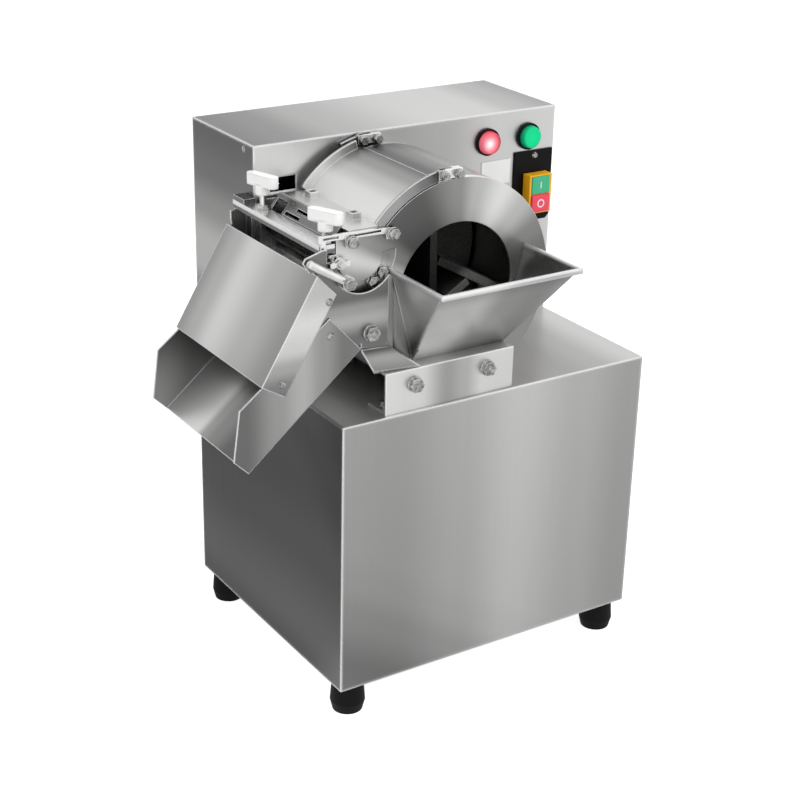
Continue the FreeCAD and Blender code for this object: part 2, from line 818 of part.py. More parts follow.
def main_shaft():
    end = sync_y + sync_w
    hub_y = imp_y + imp_t
    parts = [rod("shaft_thick", drum_x, hub_y, drum_z, shaft_r, sync_y - 6 - hub_y)]
    parts.append(rod("shaft_rear", drum_x, sync_y - 7, drum_z, shaft_r * 0.6, end - sync_y + 9))
    parts.append(rod("shaft_front", drum_x, imp_y - 28, drum_z, shaft_r * 0.64, 30 + imp_t))
    parts.append(box("shaft_key", drum_x - 2, drum_x + 2, pulley_y - 8, pulley_y + 8, drum_z,
                     drum_z + shaft_r + 0.01))
    node("main_shaft", fuse("shaft_solid", parts))
    nut = hexagon("shaft_nut_hex", drum_x, imp_y - 23, drum_z, 24, 9)
    washer = rod("shaft_nut_washer", drum_x, imp_y - 14, drum_z, 15, 2)
    bore = rod("shaft_nut_bore", drum_x, imp_y - 30, drum_z, shaft_r * 0.64 + 0.02, 30)
    return cut("shaft_nut_cut", fuse("shaft_nut_solid", [nut, washer]), [bore])


def sync_wheel(name, x, z, radius, bore):
    parts = [rod(name + "_rim", x, sync_y - 1, z, radius, sync_w)]
    wheel = fuse(name + "_solid", parts + [
        rod(name + "_side0", x, sync_y - 2, z, radius + 1.2, 1.4),
        rod(name + "_side1", x, sync_y + sync_w - 2.4, z, radius + 1.2, 1.4)])
    return cut(name, wheel, [rod(name + "_bore", x, sync_y - 3, z, bore, sync_w + 6)])


def sync_wheels():
    node("rotor_drive_pulley", sync_wheel("sync_big", drum_x, drum_z, sync_r,
                                          shaft_r * 0.6 + 0.02))
    node("rotor_pulley", sync_wheel("sync_small", rotor_x, rotor_z, sync_small_r,
                                    rotor_shaft_r + 0.02))


def bearings():
    y0 = tow_y + wall
    out = shaft_r * 2.08
    body = [rod("house_flange", drum_x, y0, drum_z, shaft_r * 4.2, 8)]
    body.append(rod("house_tube", drum_x, y0, drum_z, out + 6, 58))
    holes = [rod("house_seat", drum_x, y0 + 3, drum_z, out + 0.02, 56)]
    holes.append(rod("house_bore", drum_x, y0 - 1, drum_z, shaft_r + 1, 10))
    for step, (x, z) in enumerate(bearing_bolts()):
        holes.append(rod("house_bolt%d" % step, x, y0 - 1, z, m8_r + play, 10))
    node("main_bearing_housing", cut("house_cut", fuse("house_solid", body), holes))
    rings = [ring("bearing0", drum_x, y0 + 4, drum_z, out, shaft_r + 0.05, 15)]
    rings.append(ring("bearing1", drum_x, y0 + 42, drum_z, out, shaft_r + 0.05, 15))
    rings.append(ring("bearing2", rotor_x, y0 + 4, rotor_z, 11, rotor_shaft_r + 0.05, 7))
    group("ball_bearings", rings)


def lobe_half(name, radius, y0, thick):
    """The lower half of a disc round the discharge throat, below the band at the top."""
    disc = rod(name + "_disc", lobe_x, y0, lobe_z, radius, thick)
    top = box(name + "_top", lobe_x - radius - 1, lobe_x + radius + 1, y0 - 1, y0 + thick + 1,
              lobe_z + 1, lobe_z + radius + 1)
    return cut(name, disc, [top])


def lobe_band(name, y0, thick, low):
    return box(name, lobe_left, lobe_x * 2, y0, y0 + thick, low, lobe_top)


def drum_frame_front():
    y0 = side_y
    parts = [rod("ff_disc", drum_x, y0, drum_z, drum_r, plate_t)]
    hole = rod("ff_bore", drum_x, y0 - 1, drum_z, bore_r, plate_t + 2)
    ring_part = cut("ff_ring", parts[0], [hole])
    lug = [box("ff_lug", link_x - link_r, link_x + link_r, y0, y0 + plate_t, pivot_z - 12,
               pivot_z + link_r)]
    lug.append(box("ff_spacer", link_x - link_r, link_x + link_r, link_y() + link_t + 0.1, y0,
                   pivot_z - 4, pivot_z + link_r))
    solid = fuse("ff_solid", [ring_part, lobe_half("ff_lobe", lobe_back_r + 3, y0, plate_t),
                              lobe_band("ff_band", y0, plate_t, lobe_z - 6),
                              rod("ff_stud", nut_x, cover_y - 14, nut_z, m6_r,
                                  plate_t + 15)] + lug)
    holes = [rod("ff_rotor", rotor_x, y0 - 1, rotor_z, rotor_shaft_r + 0.05, plate_t + 2)]
    for step, (x, z) in enumerate(frame_bolts() + strap_bolts() + [panel_bolt()]):
        radius = m8_r if step == 5 else m6_r
        holes.append(rod("ff_hole%d" % step, x, y0 - 1, z, radius + play, plate_t + 2))
    holes.append(rod("ff_latch", latch_x(), y0 - 1, latch_z(), m6_r + play, plate_t + 2))
    holes.append(rod("ff_link", link_x, link_y(), pivot_z, m6_r + play, 9))
    node("drum_frame_front", cut("ff_cut", solid, holes))


def link_y():
    return cover_y - 2.2


def frame_bolts():
    return [near(lobe_x, lobe_z, *offset) for offset in ((-16.3, -26.4), (14.2, -27.6),
                                                         (23.7, -19.5))]


def strap_bolts():
    return [near(lobe_x, lobe_z, 32, 17.3), near(lobe_x, lobe_z, -11.3, 15.6)]


def panel_bolt():
    return near(lobe_x, lobe_z, 7.7, -74)


def latch_x():
    return nut_x + unit * 3.9


def latch_z():
    return nut_z - unit * 16.1


def drum_frame_rear():
    y0 = rear_y
    disc = rod("fr_disc", drum_x, y0, drum_z, drum_r, back_t)
    lug = box("fr_lug", link_x - link_r, link_x + link_r, link_back() + link_t, y0 + back_t,
              pivot_z - 12, pivot_z + link_r)
    solid = fuse("fr_solid", [disc, lobe_half("fr_lobe", lobe_back_r + 3, y0, back_t),
                              lobe_band("fr_band", y0, back_t, lobe_z - 6), lug,
                              rod("fr_boss", rotor_x, y0, rotor_z, 13, back_t + 12)])
    holes = [rod("fr_shaft", drum_x, y0 - 1, drum_z, shaft_r + 2, back_t + 2)]
    holes.append(rod("fr_rotor", rotor_x, y0 - 1, rotor_z, rotor_shaft_r + 1, back_t + 12))
    holes.append(rod("fr_seat", rotor_x, y0 + back_t + 3, rotor_z, 11.02, 20))
    holes.append(box("fr_side", lobe_x - 60, 0, y0 - 1, y0 + back_t + 1, lobe_z - 60,
                     lobe_z + 40))
    holes.append(rod("fr_link", link_x, link_back(), pivot_z, m6_r + play, 8))
    for step, (x, z) in enumerate(drum_bolts() + bearing_bolts()):
        holes.append(rod("fr_hole%d" % step, x, y0 - 1, z, m8_r + play, back_t + 2))
    node("drum_frame_rear", cut("fr_cut", solid, holes))


def link_back():
    return tow_y - 7.8


def sector(name, first, last, y0, y1, reach):
    """A wedge of the drum between two angles, used to trim rings to an arc."""
    middle = (as_size(first) + last) / 2
    points = [(drum_x, drum_z), polar(reach, first), polar(as_size(reach) * 1.15, middle),
              polar(reach, last)]
    return front_slab(name, y0, y1, points)


def drum_shell():
    tube = ring("shell_tube", drum_x, shell_y0, drum_z, drum_r, drum_r - shell_t,
                rear_y - shell_y0)
    window = sector("shell_sector", seam_deg + 1, shell_end_deg, shell_y0 - 1, rear_y + 1, 190)
    node("drum_shell", cut("tube_cut", tube, [window]))


def front_cover():
    y0 = cover_y
    disc = rod("fc_disc", drum_x, y0, drum_z, drum_r, plate_t)
    moat = lobe_half("fc_moat", lobe_back_r + 1, y0 - 1, plate_t + 2)
    corner = box("fc_corner", drum_x - drum_r - 1, lobe_x + 24, y0 - 1, y0 + plate_t + 1,
                 lobe_z - 40, lobe_z - 18)
    face = cut("fc_face", disc, [moat, corner])
    ear = box("fc_ear", -2.5, lobe_left + 10, y0, y0 + plate_t, nut_z - 6.5, nut_z + 6.5)
    solid = fuse("fc_solid", [face, lobe_half("fc_lobe", lobe_r, y0, plate_t),
                              lobe_band("fc_band", y0, plate_t, lobe_z), ear])
    holes = [rod("fc_feed", drum_x, y0 - 1, drum_z, feed_r, plate_t + 2)]
    holes.append(rod("fc_slot_end", nut_x + 2, y0 - 1, nut_z, m6_r + 0.3, plate_t + 2))
    holes.append(box("fc_slot", -3, nut_x + 2, y0 - 1, y0 + plate_t + 1, nut_z - m6_r - 0.3,
                     nut_z + m6_r + 0.3))
    for step, (x, z) in enumerate(strap_bolts() + [panel_bolt()]):
        radius = m8_r if step == 2 else m6_r
        holes.append(rod("fc_hole%d" % step, x, y0 - 1, z, radius + play, plate_t + 2))
    node("front_cover_plate", cut("fc_cut", solid, holes))


def slice_gate():
    """The curved gate over the discharge side, hinged at the top of the drum."""
    y0 = cover_y + 1
    y1 = rear_y + 2
    middle = (cover_y + tow_y) / 2
    r0 = drum_r + 0.8
    skin = ring("gate_ring", drum_x, y0, drum_z, r0 + gate_t, r0, y1 - y0)
    arc = sector("gate_sector", seam_deg, lip_deg + 2, y0 - 1, y1 + 1, 170)
    eye_y = link_back() + link_t + 0.4
    tab = ring("gate_tab_ring", drum_x, y1 - 1, drum_z, r0 + gate_t, r0, eye_y + rib_t - y1 + 1)
    parts = [common("gate_skin", skin, arc),
             common("gate_tab", tab, sector("gate_tab_sector", seam_deg, seam_deg + 9, y1 - 2,
                                            tow_y, 170))]
    for tag, y, first, last in (("gate_rib0", y0, 0.2, 38), ("gate_rib1", y1 - rib_t, 3, 38),
                                ("gate_horn", eye_y, 0.2, 9)):
        band = ring(tag, drum_x, y, drum_z, r0 + gate_t + rib_h, r0 + 0.4, rib_t)
        parts.append(common(tag + "_arc", band, sector(tag + "_sector", seam_deg + first,
                                                       seam_deg + last, y - 1, y + rib_t + 1,
                                                       170)))
    for step, y in enumerate((y0, eye_y)):
        parts.append(rod("gate_eye%d" % step, pivot_x, y, pivot_z, eye_r, rib_t))
    parts.append(box("gate_lip", lip_x, drum_x - r0 * 0.755, y0, y1, lip_z, lip_z + gate_t))
    for step in (0, 1):
        y = middle + lug_off * (2 * step - 1)
        parts.append(box("gate_lug%d" % step, lug_x - lug_w / 2, lug_x + lug_w / 2,
                         y - lug_w / 2, y + lug_w / 2, lip_z + gate_t - 1,
                         lip_z + gate_t + lug_h))
    holes = [box("gate_under", lip_x - 1, lobe_x * 2 + 4, y0 - 1, y1 + 1, lip_z - 30, lip_z)]
    for step in (0, 1):
        y = middle + lug_off * (2 * step - 1)
        x = as_size(lug_x)
        holes.append(box("gate_socket%d" % step, x - 3.6, x + 3.6, y - 3.6, y + 3.6,
                         lip_z + gate_t + 1.5, lip_z + gate_t + lug_h + 1))
    for step, y in enumerate((y0, eye_y)):
        holes.append(rod("gate_pin%d" % step, pivot_x, y - 0.5, pivot_z, m6_r + 0.05, rib_t + 1))
    node("slice_gate", cut("gate_cut", fuse("gate_solid", parts), holes))


def hinge_links():
    parts = []
    for step, y in enumerate((link_y(), link_back())):
        points = rect(pivot_x - link_r, pivot_z - 4.1, link_x + link_r, pivot_z + link_r)
        parts.append(front_slab("link%d" % step, y, y + link_t, points, [
            (pivot_x, pivot_z, m6_r + play), (link_x, pivot_z, m6_r + play)]))
    group("hinge_links", parts)


def impeller(nut):
    hub = rod("imp_hub", drum_x, imp_y - 12, drum_z, 25, 12 + imp_t)
    disc = rod("imp_disc", drum_x, imp_y, drum_z, imp_r, imp_t)
    parts = [disc, hub]
    blade_end = imp_r - 0.7
    for step in range(3):
        angle = paddle_deg + 120 * step
        side = angle + 90
        start = polar(paddle_side, side)
        inner = polar(-paddle_in, angle, *start)
        outer = polar(blade_end, angle, *start)
        back_outer = polar(paddle_t, side, *outer)
        back_inner = polar(paddle_t, side, *inner)
        blade = front_slab("imp_blade%d" % step, paddle_y, imp_y + 1,
                           [inner, outer, back_outer, back_inner])
        parts.append(common("imp_paddle%d" % step, blade,
                            rod("imp_limit%d" % step, drum_x, paddle_y - 1, drum_z, blade_end,
                                imp_y - paddle_y + 4)))
        near_hub = polar(paddle_foot, angle, *start)
        foot_a = polar(-14, side, *near_hub)
        foot_b = polar(-14, side, *outer)
        foot = front_slab("imp_foot%d" % step, imp_y - 3, imp_y + 1,
                          [foot_a, foot_b, outer, near_hub])
        parts.append(common("imp_foot_in%d" % step, foot,
                            rod("imp_foot_limit%d" % step, drum_x, imp_y - 4, drum_z, blade_end,
                                8)))
    bore = rod("imp_bore", drum_x, imp_y - 13, drum_z, shaft_r * 0.64 + 0.02, 15 + imp_t)
    holes = [bore, rod("imp_pocket", drum_x, imp_y - 30, drum_z, 16, 18)]
    for step, (x, z) in enumerate(paddle_bolts()):
        holes.append(rod("imp_hole%d" % step, x, imp_y - 4, z, m6_r + 0.02, imp_t + 6))
    node("impeller", cut("imp_cut", fuse("imp_solid", parts), holes))
    bolts = []
    for step, (x, z) in enumerate(paddle_bolts()):
        bolts.append(m6_bolt("imp_bolt%d" % step, x, imp_y - 3, z, imp_t + 3))
    group("impeller_bolts", bolts + [nut])


def paddle_bolts():
    places = []
    for step in range(3):
        angle = paddle_deg + 120 * step
        for along_paddle in (62, 88):
            spot = polar(along_paddle, angle)
            places.append(polar(paddle_side - 7.5, angle + 90, *spot))
    return places


def slicing_knife():
    edge = polar(drum_r - 2.5, knife_deg)
    angle = knife_deg + 72
    down = angle + 90
    back = polar(knife_len, angle, edge[0], edge[1])
    low = polar(knife_t, down, back[0], back[1])
    bevel = polar(4.5, angle, edge[0], edge[1])
    near = polar(knife_t, down, bevel[0], bevel[1])
    knife = front_slab("knife_blade", shell_y0 + 0.5, rear_y - 0.5, [edge, back, low, near])
    node("slicing_knife", knife)
    seat_points = [polar(knife_t, down, *polar(10, angle, *edge)), low]
    seat_points.append(polar(9, angle, *low))
    seat_points.append(polar(13, down, *seat_points[-1]))
    seat_points.append(polar(18, down, *seat_points[0]))
    holder = front_slab("holder_bar", shell_y0, rear_y, seat_points)
    drum_gap = rod("holder_drum", drum_x, shell_y0 - 1, drum_z, drum_r, rear_y - shell_y0 + 2)
    bolts = [rod("holder_bolt%d" % step, x, shell_y0 - 1, z, m6_r + play, 14)
             for step, (x, z) in enumerate(frame_bolts())]
    node("knife_holder", cut("holder_cut", holder, [drum_gap] + bolts))


def discharge_bar():
    """The two flat bars over the discharge gap and the slotted comb plate on their right."""
    notch = box("bar_notch", -0.4, bar_w + 2, tow_y - 0.4, bar_y1 + 2, bar_z - rest_t - 1,
                bar_z + bar_t + 1)
    holes = []
    for step, y in enumerate((tee_y0, tee_y1)):
        holes.append(rod("bar_tee%d" % step, -tee_x, y, bar_z - rest_t - 1, stem_r + 0.05,
                         bar_t + rest_t + 2, UPRIGHT))
    rest = box("rest_bar", -bar_x0, bar_w - bar_x0, bar_y0, bar_y1, bar_z - rest_t, bar_z)
    node("bar_rest", cut("rest_cut", rest, [notch] + holes))
    strip = box("strip_bar", -bar_x0, bar_w - bar_x0, bar_y0, bar_y1, bar_z, bar_z + bar_t)
    node("stripper_bar", cut("strip_cut", strip, [notch] + holes))
    x0 = bar_w - bar_x0
    low = bar_z - 3
    knee = bar_z + bar_t + 0.6
    run = 11
    rise = 14
    points = [(x0, low), (x0 + 2, low), (x0 + 2, knee), (x0 + 2 + run, knee + rise),
              (x0 + run, knee + rise), (x0, knee + 0.8)]
    comb = front_slab("comb_body", shell_y0 + 1, slot_y1 + 24, points)
    cuts = [box("comb_window", x0 - 1, x0 + run - 3, slot_y1 + 1, slot_y1 + 20, knee - 2,
                knee + rise + 2)]
    cuts.append(box("comb_slot0", x0 - 1, x0 + 5, slot_y1 - 30, slot_y1 - 3, knee + 0.8, knee + 4))
    cuts.append(box("comb_slot1", x0 + 2, x0 + 10, slot_y1 - 58, slot_y1 - 18, knee + 6.5,
                    knee + 9.5))
    node("slotted_plate", cut("comb_cut", comb, cuts))


def rear_clamp():
    block = box("clamp_block", -bar_x0 + 0.5, -0.6, tow_y - 4, bar_y1 - 1, bar_z + bar_t,
                bar_z + bar_t + 5)
    group("rear_clamp", [block])


def t_screws():
    for tag, y, turn, top in (("front", tee_y0, 24, tee_z - tee_drop),
                              ("rear", tee_y1, 18, tee_z)):
        bar = [box("tee_bar_" + tag, -tee_w / 2, tee_w / 2, -tee_len / 2 + tee_w / 2,
                   tee_len / 2 - tee_w / 2, top, top + tee_h)]
        for end, side in enumerate((-1, 1)):
            bar.append(rod("tee_end_%s%d" % (tag, end), 0, (tee_len / 2 - tee_w / 2) * side, top,
                           tee_w / 2, tee_h, UPRIGHT))
        bar.append(rod("tee_hub_" + tag, 0, 0, top - hub_h, hub_r, hub_h + 2, UPRIGHT))
        solid = fuse("tee_solid_" + tag, bar)
        hole = rod("tee_hole_" + tag, 0, 0, top - hub_h - 1, stem_r + 0.02, hub_h + 7, UPRIGHT)
        knob = cut("tee_turn_" + tag, solid, [hole])
        knob.Placement = FreeCAD.Placement(V(0, 0, 0), FreeCAD.Rotation(V(0, 0, 1), turn))
        stand = doc.addObject("Part::Compound", "tee_place_" + tag)
        stand.Links = [knob]
        seat(stand, -tee_x, y, 0)
        holder = doc.addObject("Part::Compound", "tee_node_" + tag)
        holder.Links = [stand]
        node("t_knob_" + tag, holder)
        stem = [rod("tee_stem_" + tag, -tee_x, y, bar_z - rest_t - 5, stem_r,
                    top - bar_z + rest_t + 9, UPRIGHT)]
        collar = hexagon("tee_collar_" + tag, -tee_x, y, bar_z + bar_t, m6_af, 4, UPRIGHT)
        node("t_stem_" + tag, fuse("tee_stem_solid_" + tag, stem + [collar]))


def front_strap():
    offsets = [(-45, 18), (-45, 25.5), (30, 23), (37.5, 18), (37.5, 12), (26, 12), (25, 17.5),
               (-4, 18.5), (-6, 11), (-17, 11), (-18, 19), (-38, 19.7), (-38, 2), (-43, 2),
               (-43, 18)]
    points = [near(lobe_x, lobe_z, *offset) for offset in offsets]
    holes = [(x, z, m6_r + play) for x, z in strap_bolts()]
    strap = front_slab("strap_body", cover_y - 3, cover_y, points, holes)
    slots = []
    for step, (x0, x1, z0, z1) in enumerate(((-41, -25, 21, 23), (-14, 20, 20.2, 22))):
        low = near(lobe_x, lobe_z, x0, z0)
        high = near(lobe_x, lobe_z, x1, z1)
        slots.append(box("strap_slot%d" % step, low[0], high[0], cover_y - 4, cover_y + 1,
                         low[1], high[1]))
    node("front_strap", cut("strap_cut", strap, slots))


def wing_nut():
    y0 = cover_y - 10
    parts = [rod("wing_hub", nut_x, y0 + 3.4, nut_z, 5.5, 6.6)]
    parts.append(rod("wing_neck", nut_x, y0, nut_z, 4.6, 4))
    parts.append(box("wing_ear", nut_x - 11, nut_x + 11, y0, y0 + 3.2, nut_z - 2, nut_z + 2))
    for step, side in enumerate((-1, 1)):
        parts.append(rod("wing_tip%d" % step, nut_x + 8 * side, y0, nut_z, 3, 3.2))
    bore = rod("wing_bore", nut_x, y0 - 2, nut_z, m6_r + 0.05, 20)
    node("wing_nut", cut("wing_cut", fuse("wing_solid", parts), [bore]))


def hood_latch():
    """The round handle in front of the throat, turning on a shoulder bolt."""
    x0 = latch_x()
    z0 = latch_z()
    bar = rod("latch_bar", 0, 0, 0, 4, 44, ALONG_X)
    tip = doc.addObject("Part::Sphere", "latch_tip")
    drive(tip, "Radius", 4)
    tip.Placement = FreeCAD.Placement(V(44, 0, 0), FreeCAD.Rotation())
    eye = rod("latch_eye", 0, -4, 0, 6.5, 8)
    arm = fuse("latch_arm", [bar, tip, eye])
    seat(arm, x0, cover_y - 14.5, z0, FreeCAD.Rotation(V(0, 1, 0), -148.8))
    hole = rod("latch_hole", x0, cover_y - 20, z0, m6_r + 0.05, 12)
    node("throat_latch", cut("latch_cut", arm, [hole]))


def throat_panels():
    t = sheet_t
    y0 = chute_y0 + t
    points = [near(tray_x, tray_z, *offset) for offset in ((30, -5.2), (0.8, -0.2), (0.8, 4.3),
                                                           (-41, -12.2))]
    points.append(near(hood_left(), hood_z, 5.8, -10))
    points.append(near(hood_left(), hood_z, 2.6, -2))
    points.append(near(hood_left(), hood_z, 2.6, 2))
    points += [near(lobe_x, lobe_z, *offset) for offset in ((-57, -6), (-64, 4), (-61, 8.5),
                                                            (-43.8, 13.5), (-39, 13.5), (-39, 1),
                                                            (27, 1))]
    panel = front_slab("throat_sheet", y0, y0 + t, points)
    x, z = panel_bolt()
    boss = rod("throat_boss", x, y0 + t - 0.5, z, 8, cover_y - y0 - t + 0.5)
    solid = fuse("throat_solid", [panel, boss])
    holes = [rod("throat_scoop", lobe_x, y0 - 1, lobe_z, scoop_r, t + 3)]
    holes.append(rod("throat_bolt", x, y0 - 1, z, m8_r + play, 12))
    for step, (sx, sz) in enumerate(chute_screws()):
        holes.append(rod("throat_screw%d" % step, sx, y0 - 1, sz, m4_r + play, t + 3))
    node("throat_front_panel", cut("throat_cut", solid, holes))
    y1 = chute_y1 - t
    back = [(-t, tray_z - 12), (-t * 9, tray_z + 5), near(hood_left(), hood_z, 5.8, -30),
            near(hood_left(), hood_z, 2.6, -2), near(hood_left(), hood_z, 2.6, 2),
            near(hood_left(), hood_z, 1.8, 5), near(hood_left(), hood_z, 1.8, 14),
            (-t, hood_z + unit * 14)]
    sheet_back = front_slab("throat_back_sheet", y1 - t, y1, back)
    side = side_slab("throat_back_side", -t, 0, rect(tow_y + 2, tray_z - 12, y1 + 24,
                                                       hood_z + unit * 14), [
        (y1 + 12, tray_z + 3, m4_r + play), (y1 + 12, hood_z - 1, m4_r + play)])
    holes = [rod("throat_back_screw%d" % step, sx, y1 - t - 1, sz, m4_r + play, t + 3)
             for step, (sx, sz) in enumerate(chute_screws())]
    node("throat_rear_panel", cut("throat_back_cut", fuse("throat_back", [sheet_back, side]),
                                  holes))


def hood_left():
    return -hood_x


def chute_screws():
    return [near(hood_left(), hood_z, 12.4, -27.3), near(tray_x, tray_z, -32.9, 18.7)]


def along(degrees, length, x, z):
    return polar(length, degrees, x, z)


def chute_tray():
    """The open tray: sloping floor with a side wall on each side."""
    t = sheet_t
    top = (tray_x, tray_z)
    low = along(tray_deg + 180, tray_len, *top)
    peak = along(tray_deg + 93, tray_wall, *top)
    side = [top, peak, (-mouth_x, mouth_z), (-mouth_low_x, mouth_low_z), low]
    near = front_slab("tray_near", chute_y0, chute_y0 + t, side)
    far = front_slab("tray_far", chute_y1 - t, chute_y1, side)
    floor = front_slab("tray_floor", chute_y0, chute_y1, [
        top, along(tray_deg + 90, t, *top), along(tray_deg + 90, t, *low), low])
    reach = along(tray_deg, 7.5, *top)
    start = along(tray_deg + 180, 3, *top)
    apron = front_slab("tray_apron", cover_y - 4, tow_y - 0.5, [
        start, reach, along(tray_deg + 90, t, *reach), along(tray_deg + 90, t, *start)])
    clear = box("tray_tower", -t, cab_w, tow_y - 0.4, chute_y1 + 1, cab_h + 12, drum_z + 24)
    holes = [clear]
    for step, (x, z) in enumerate(chute_screws() + [lower_screw()]):
        holes.append(rod("tray_screw%d" % step, x, chute_y0 - 1, z, m4_r + play, 180))
    node("chute_tray", cut("tray_cut", fuse("tray_solid", [near, far, floor, apron]), holes))


def lower_screw():
    return near(hood_left(), hood_z, -36.5, -97.5)


def chute_hood():
    """The sloping lid over the tray with a folded flange on each side."""
    t = sheet_t
    top = (-hood_x, hood_z)
    fall = hood_deg + 180
    inward = hood_deg - 90
    low = along(fall, hood_len, *top)
    panel = front_slab("hood_top", chute_y0 - t, chute_y1 + t, [
        top, low, along(inward, t, *low), along(inward, t, *top)])
    shoulder = along(fall, 8, *top)
    side = [top, low, along(inward, hood_flange, *low), along(inward, hood_flange, *shoulder)]
    near = front_slab("hood_near", chute_y0 - t, chute_y0, side)
    far = front_slab("hood_far", chute_y1, chute_y1 + t, side)
    clear = box("hood_tower", -t, drum_x, chute_y1 - 3, chute_y1 + t + 1, cab_h + 12,
                hood_z + 10)
    holes = [clear]
    for step, (x, z) in enumerate([chute_screws()[0], lower_screw()]):
        holes.append(rod("hood_screw%d" % step, x, chute_y0 - 3, z, m4_r + play, 182))
    node("chute_hood", cut("hood_cut", fuse("hood_solid", [panel, near, far]), holes))


def feed_hopper():
    """Open-backed hopper: three sloping walls, a bright rim band and two rear flanges."""
    z0 = brk_z
    deep = rim_z - z0

    def wedge(name, x0, x1, y0, y1, top_x0, top_x1, top_y0, top_y1):
        thing = doc.addObject("Part::Wedge", name)
        drive(thing, "Xmin", x0)
        drive(thing, "Xmax", x1)
        drive(thing, "Zmin", -as_size(y1))
        drive(thing, "Zmax", -as_size(y0))
        drive(thing, "Ymin", 0)
        drive(thing, "Ymax", deep)
        drive(thing, "X2min", top_x0)
        drive(thing, "X2max", top_x1)
        drive(thing, "Z2min", -as_size(top_y1))
        drive(thing, "Z2max", -as_size(top_y0))
        return seat(thing, 0, 0, z0, FreeCAD.Rotation(V(1, 0, 0), 90))

    t = hop_t
    outer = wedge("hop_outer", hop_x0, hop_x1, cover_y - 2, cover_y, rim_x0, rim_x1, -rim_reach,
                  cover_y)
    inner = wedge("hop_inner", hop_x0 + t, hop_x1 - t, cover_y, cover_y + 9, rim_x0 + t,
                  rim_x1 - t, -rim_reach + t * 1.35, cover_y + 9)
    walls = cut("hop_walls", outer, [inner])
    half = rim_w / 2
    rim = box("hop_rim", rim_x0 - half, rim_x1 + half, -rim_reach - half, cover_y,
              rim_z - rim_h, rim_z)
    well = box("hop_well", rim_x0 + half, rim_x1 - half, -rim_reach + half, cover_y + 1,
               rim_z - rim_h - 1, rim_z + 1)
    parts = [walls, cut("hop_band", rim, [well])]
    left = [(rim_x0 + 2.2, rim_z - 7), (hop_x0 - 20, z0 + 15), (hop_x0, z0),
            (hop_x0 + 1, z0 + 2), (rim_x0 + 3.1, rim_z - 7)]
    right = [(hop_x1 + hop_x0 - as_size(x), z) for x, z in left]
    parts.append(front_slab("hop_left", cover_y - 1.5, cover_y, left))
    parts.append(front_slab("hop_right", cover_y - 1.5, cover_y, right))
    node("feed_hopper", fuse("hopper_solid", parts))


def saddle_plate():
    """The folded shelf that ties the throat panel to the bracket."""
    back = chute_y0 + sheet_t - 0.1
    far = [near(tray_x, tray_z, 0, -0.3), near(tray_x, tray_z, 31, -3)]
    corners = [V(x.value, back.value, z.value) for x, z in far]
    top = (brk_z + 1.8).value
    for x, y in ((brk_x0 + 38, brk_y), (brk_x0 - 9, brk_y + 7)):
        corners.append(V(x.value, y.value, top))
    sheet = Part.makeRuledSurface(Part.makeLine(corners[0], corners[1]),
                                  Part.makeLine(corners[3], corners[2]))
    plate = doc.addObject("Part::Feature", "saddle_sheet")
    plate.Shape = sheet.extrude(V(0, 0, -1.8))
    node("saddle_plate", plate)


def bracket():
    """The folded channel on the cabinet's top that carries the hopper, and the tube inside."""
    x1 = brk_x0 + brk_w
    z0 = cab_h
    face = box("brk_face", brk_x0, x1, brk_y, brk_y + brk_t, z0, brk_z)
    foot = box("brk_foot_leg", brk_x0, x1, brk_y, brk_y + brk_foot, z0, z0 + brk_t)
    top = box("brk_top", brk_x0, x1, brk_y, cover_y, brk_z - brk_t, brk_z)
    holes = [rod("brk_hole%d" % step, x, brk_y - 1, z, m8_r + play, brk_t + 2)
             for step, (x, z) in enumerate(bracket_bolts())]
    for step, x in enumerate(foot_bolts()):
        holes.append(rod("brk_foot_hole%d" % step, x, brk_y + brk_foot / 2, z0 - 1, m6_r + play,
                         brk_t + 2, UPRIGHT))
    clear = box("brk_drum", drum_x - 25, drum_x + 25, cover_y - 0.3, brk_y + brk_foot + 1,
                z0 - 1, z0 + brk_t + 1)
    node("front_bracket", cut("brk_cut", fuse("brk_solid", [face, foot, top]),
                              holes + [clear]))
    y0 = brk_y + brk_t
    tube = box("tube_out", brk_x0 + 12, x1 - 12, y0, cover_y, z0 + 16, z0 + 38)
    inside = box("tube_in", brk_x0 + 11, x1 - 11, y0 + 3, cover_y - 3, z0 + 19, z0 + 35)
    bores = [rod("tube_hole%d" % step, x, y0 - 1, z, m8_r + play, 5)
             for step, (x, z) in enumerate(bracket_bolts())]
    node("drum_foot", cut("tube_cut2", tube, [inside] + bores))


def bracket_bolts():
    x = brk_x0 + brk_bolt_in
    return [(x, cab_h + brk_bolt_z), (x + brk_bolt_gap, cab_h + brk_bolt_z)]


def lamps():
    """Two pilot lamps: a thin black ring on the panel and a tall coloured lens in it."""
    bezels = []
    for tag, x in (("red", red_x), ("green", green_x)):
        y0 = tow_y - ring_t
        bezel = [rod("bezel_" + tag, x, y0, lamp_z, lamp_r, ring_t)]
        bezel.append(rod("bezel_body_" + tag, x, tow_y, lamp_z, lamp_hole_r, 24))
        bezel.append(rod("bezel_nut_" + tag, x, tow_y + wall, lamp_z, lamp_r, 4))
        well = rod("bezel_well_" + tag, x, y0 - 1, lamp_z, lens_r + 0.05, ring_t / 2 + 1)
        bezels.append(cut("bezel_cut_" + tag, fuse("bezel_all_" + tag, bezel), [well]))
        y1 = y0 - lens_out
        lens = [cone("lens_" + tag, x, y1 + 1.2, lamp_z, lens_r - 1.1, lens_r,
                     lens_out + ring_t / 2 - 1.2)]
        lens.append(cone("lens_face_" + tag, x, y1, lamp_z, lens_r - 2.6, lens_r - 1.1, 1.2))
        node("lamp_lens_" + tag, fuse("lens_all_" + tag, lens))
    group("lamp_bezels", bezels)


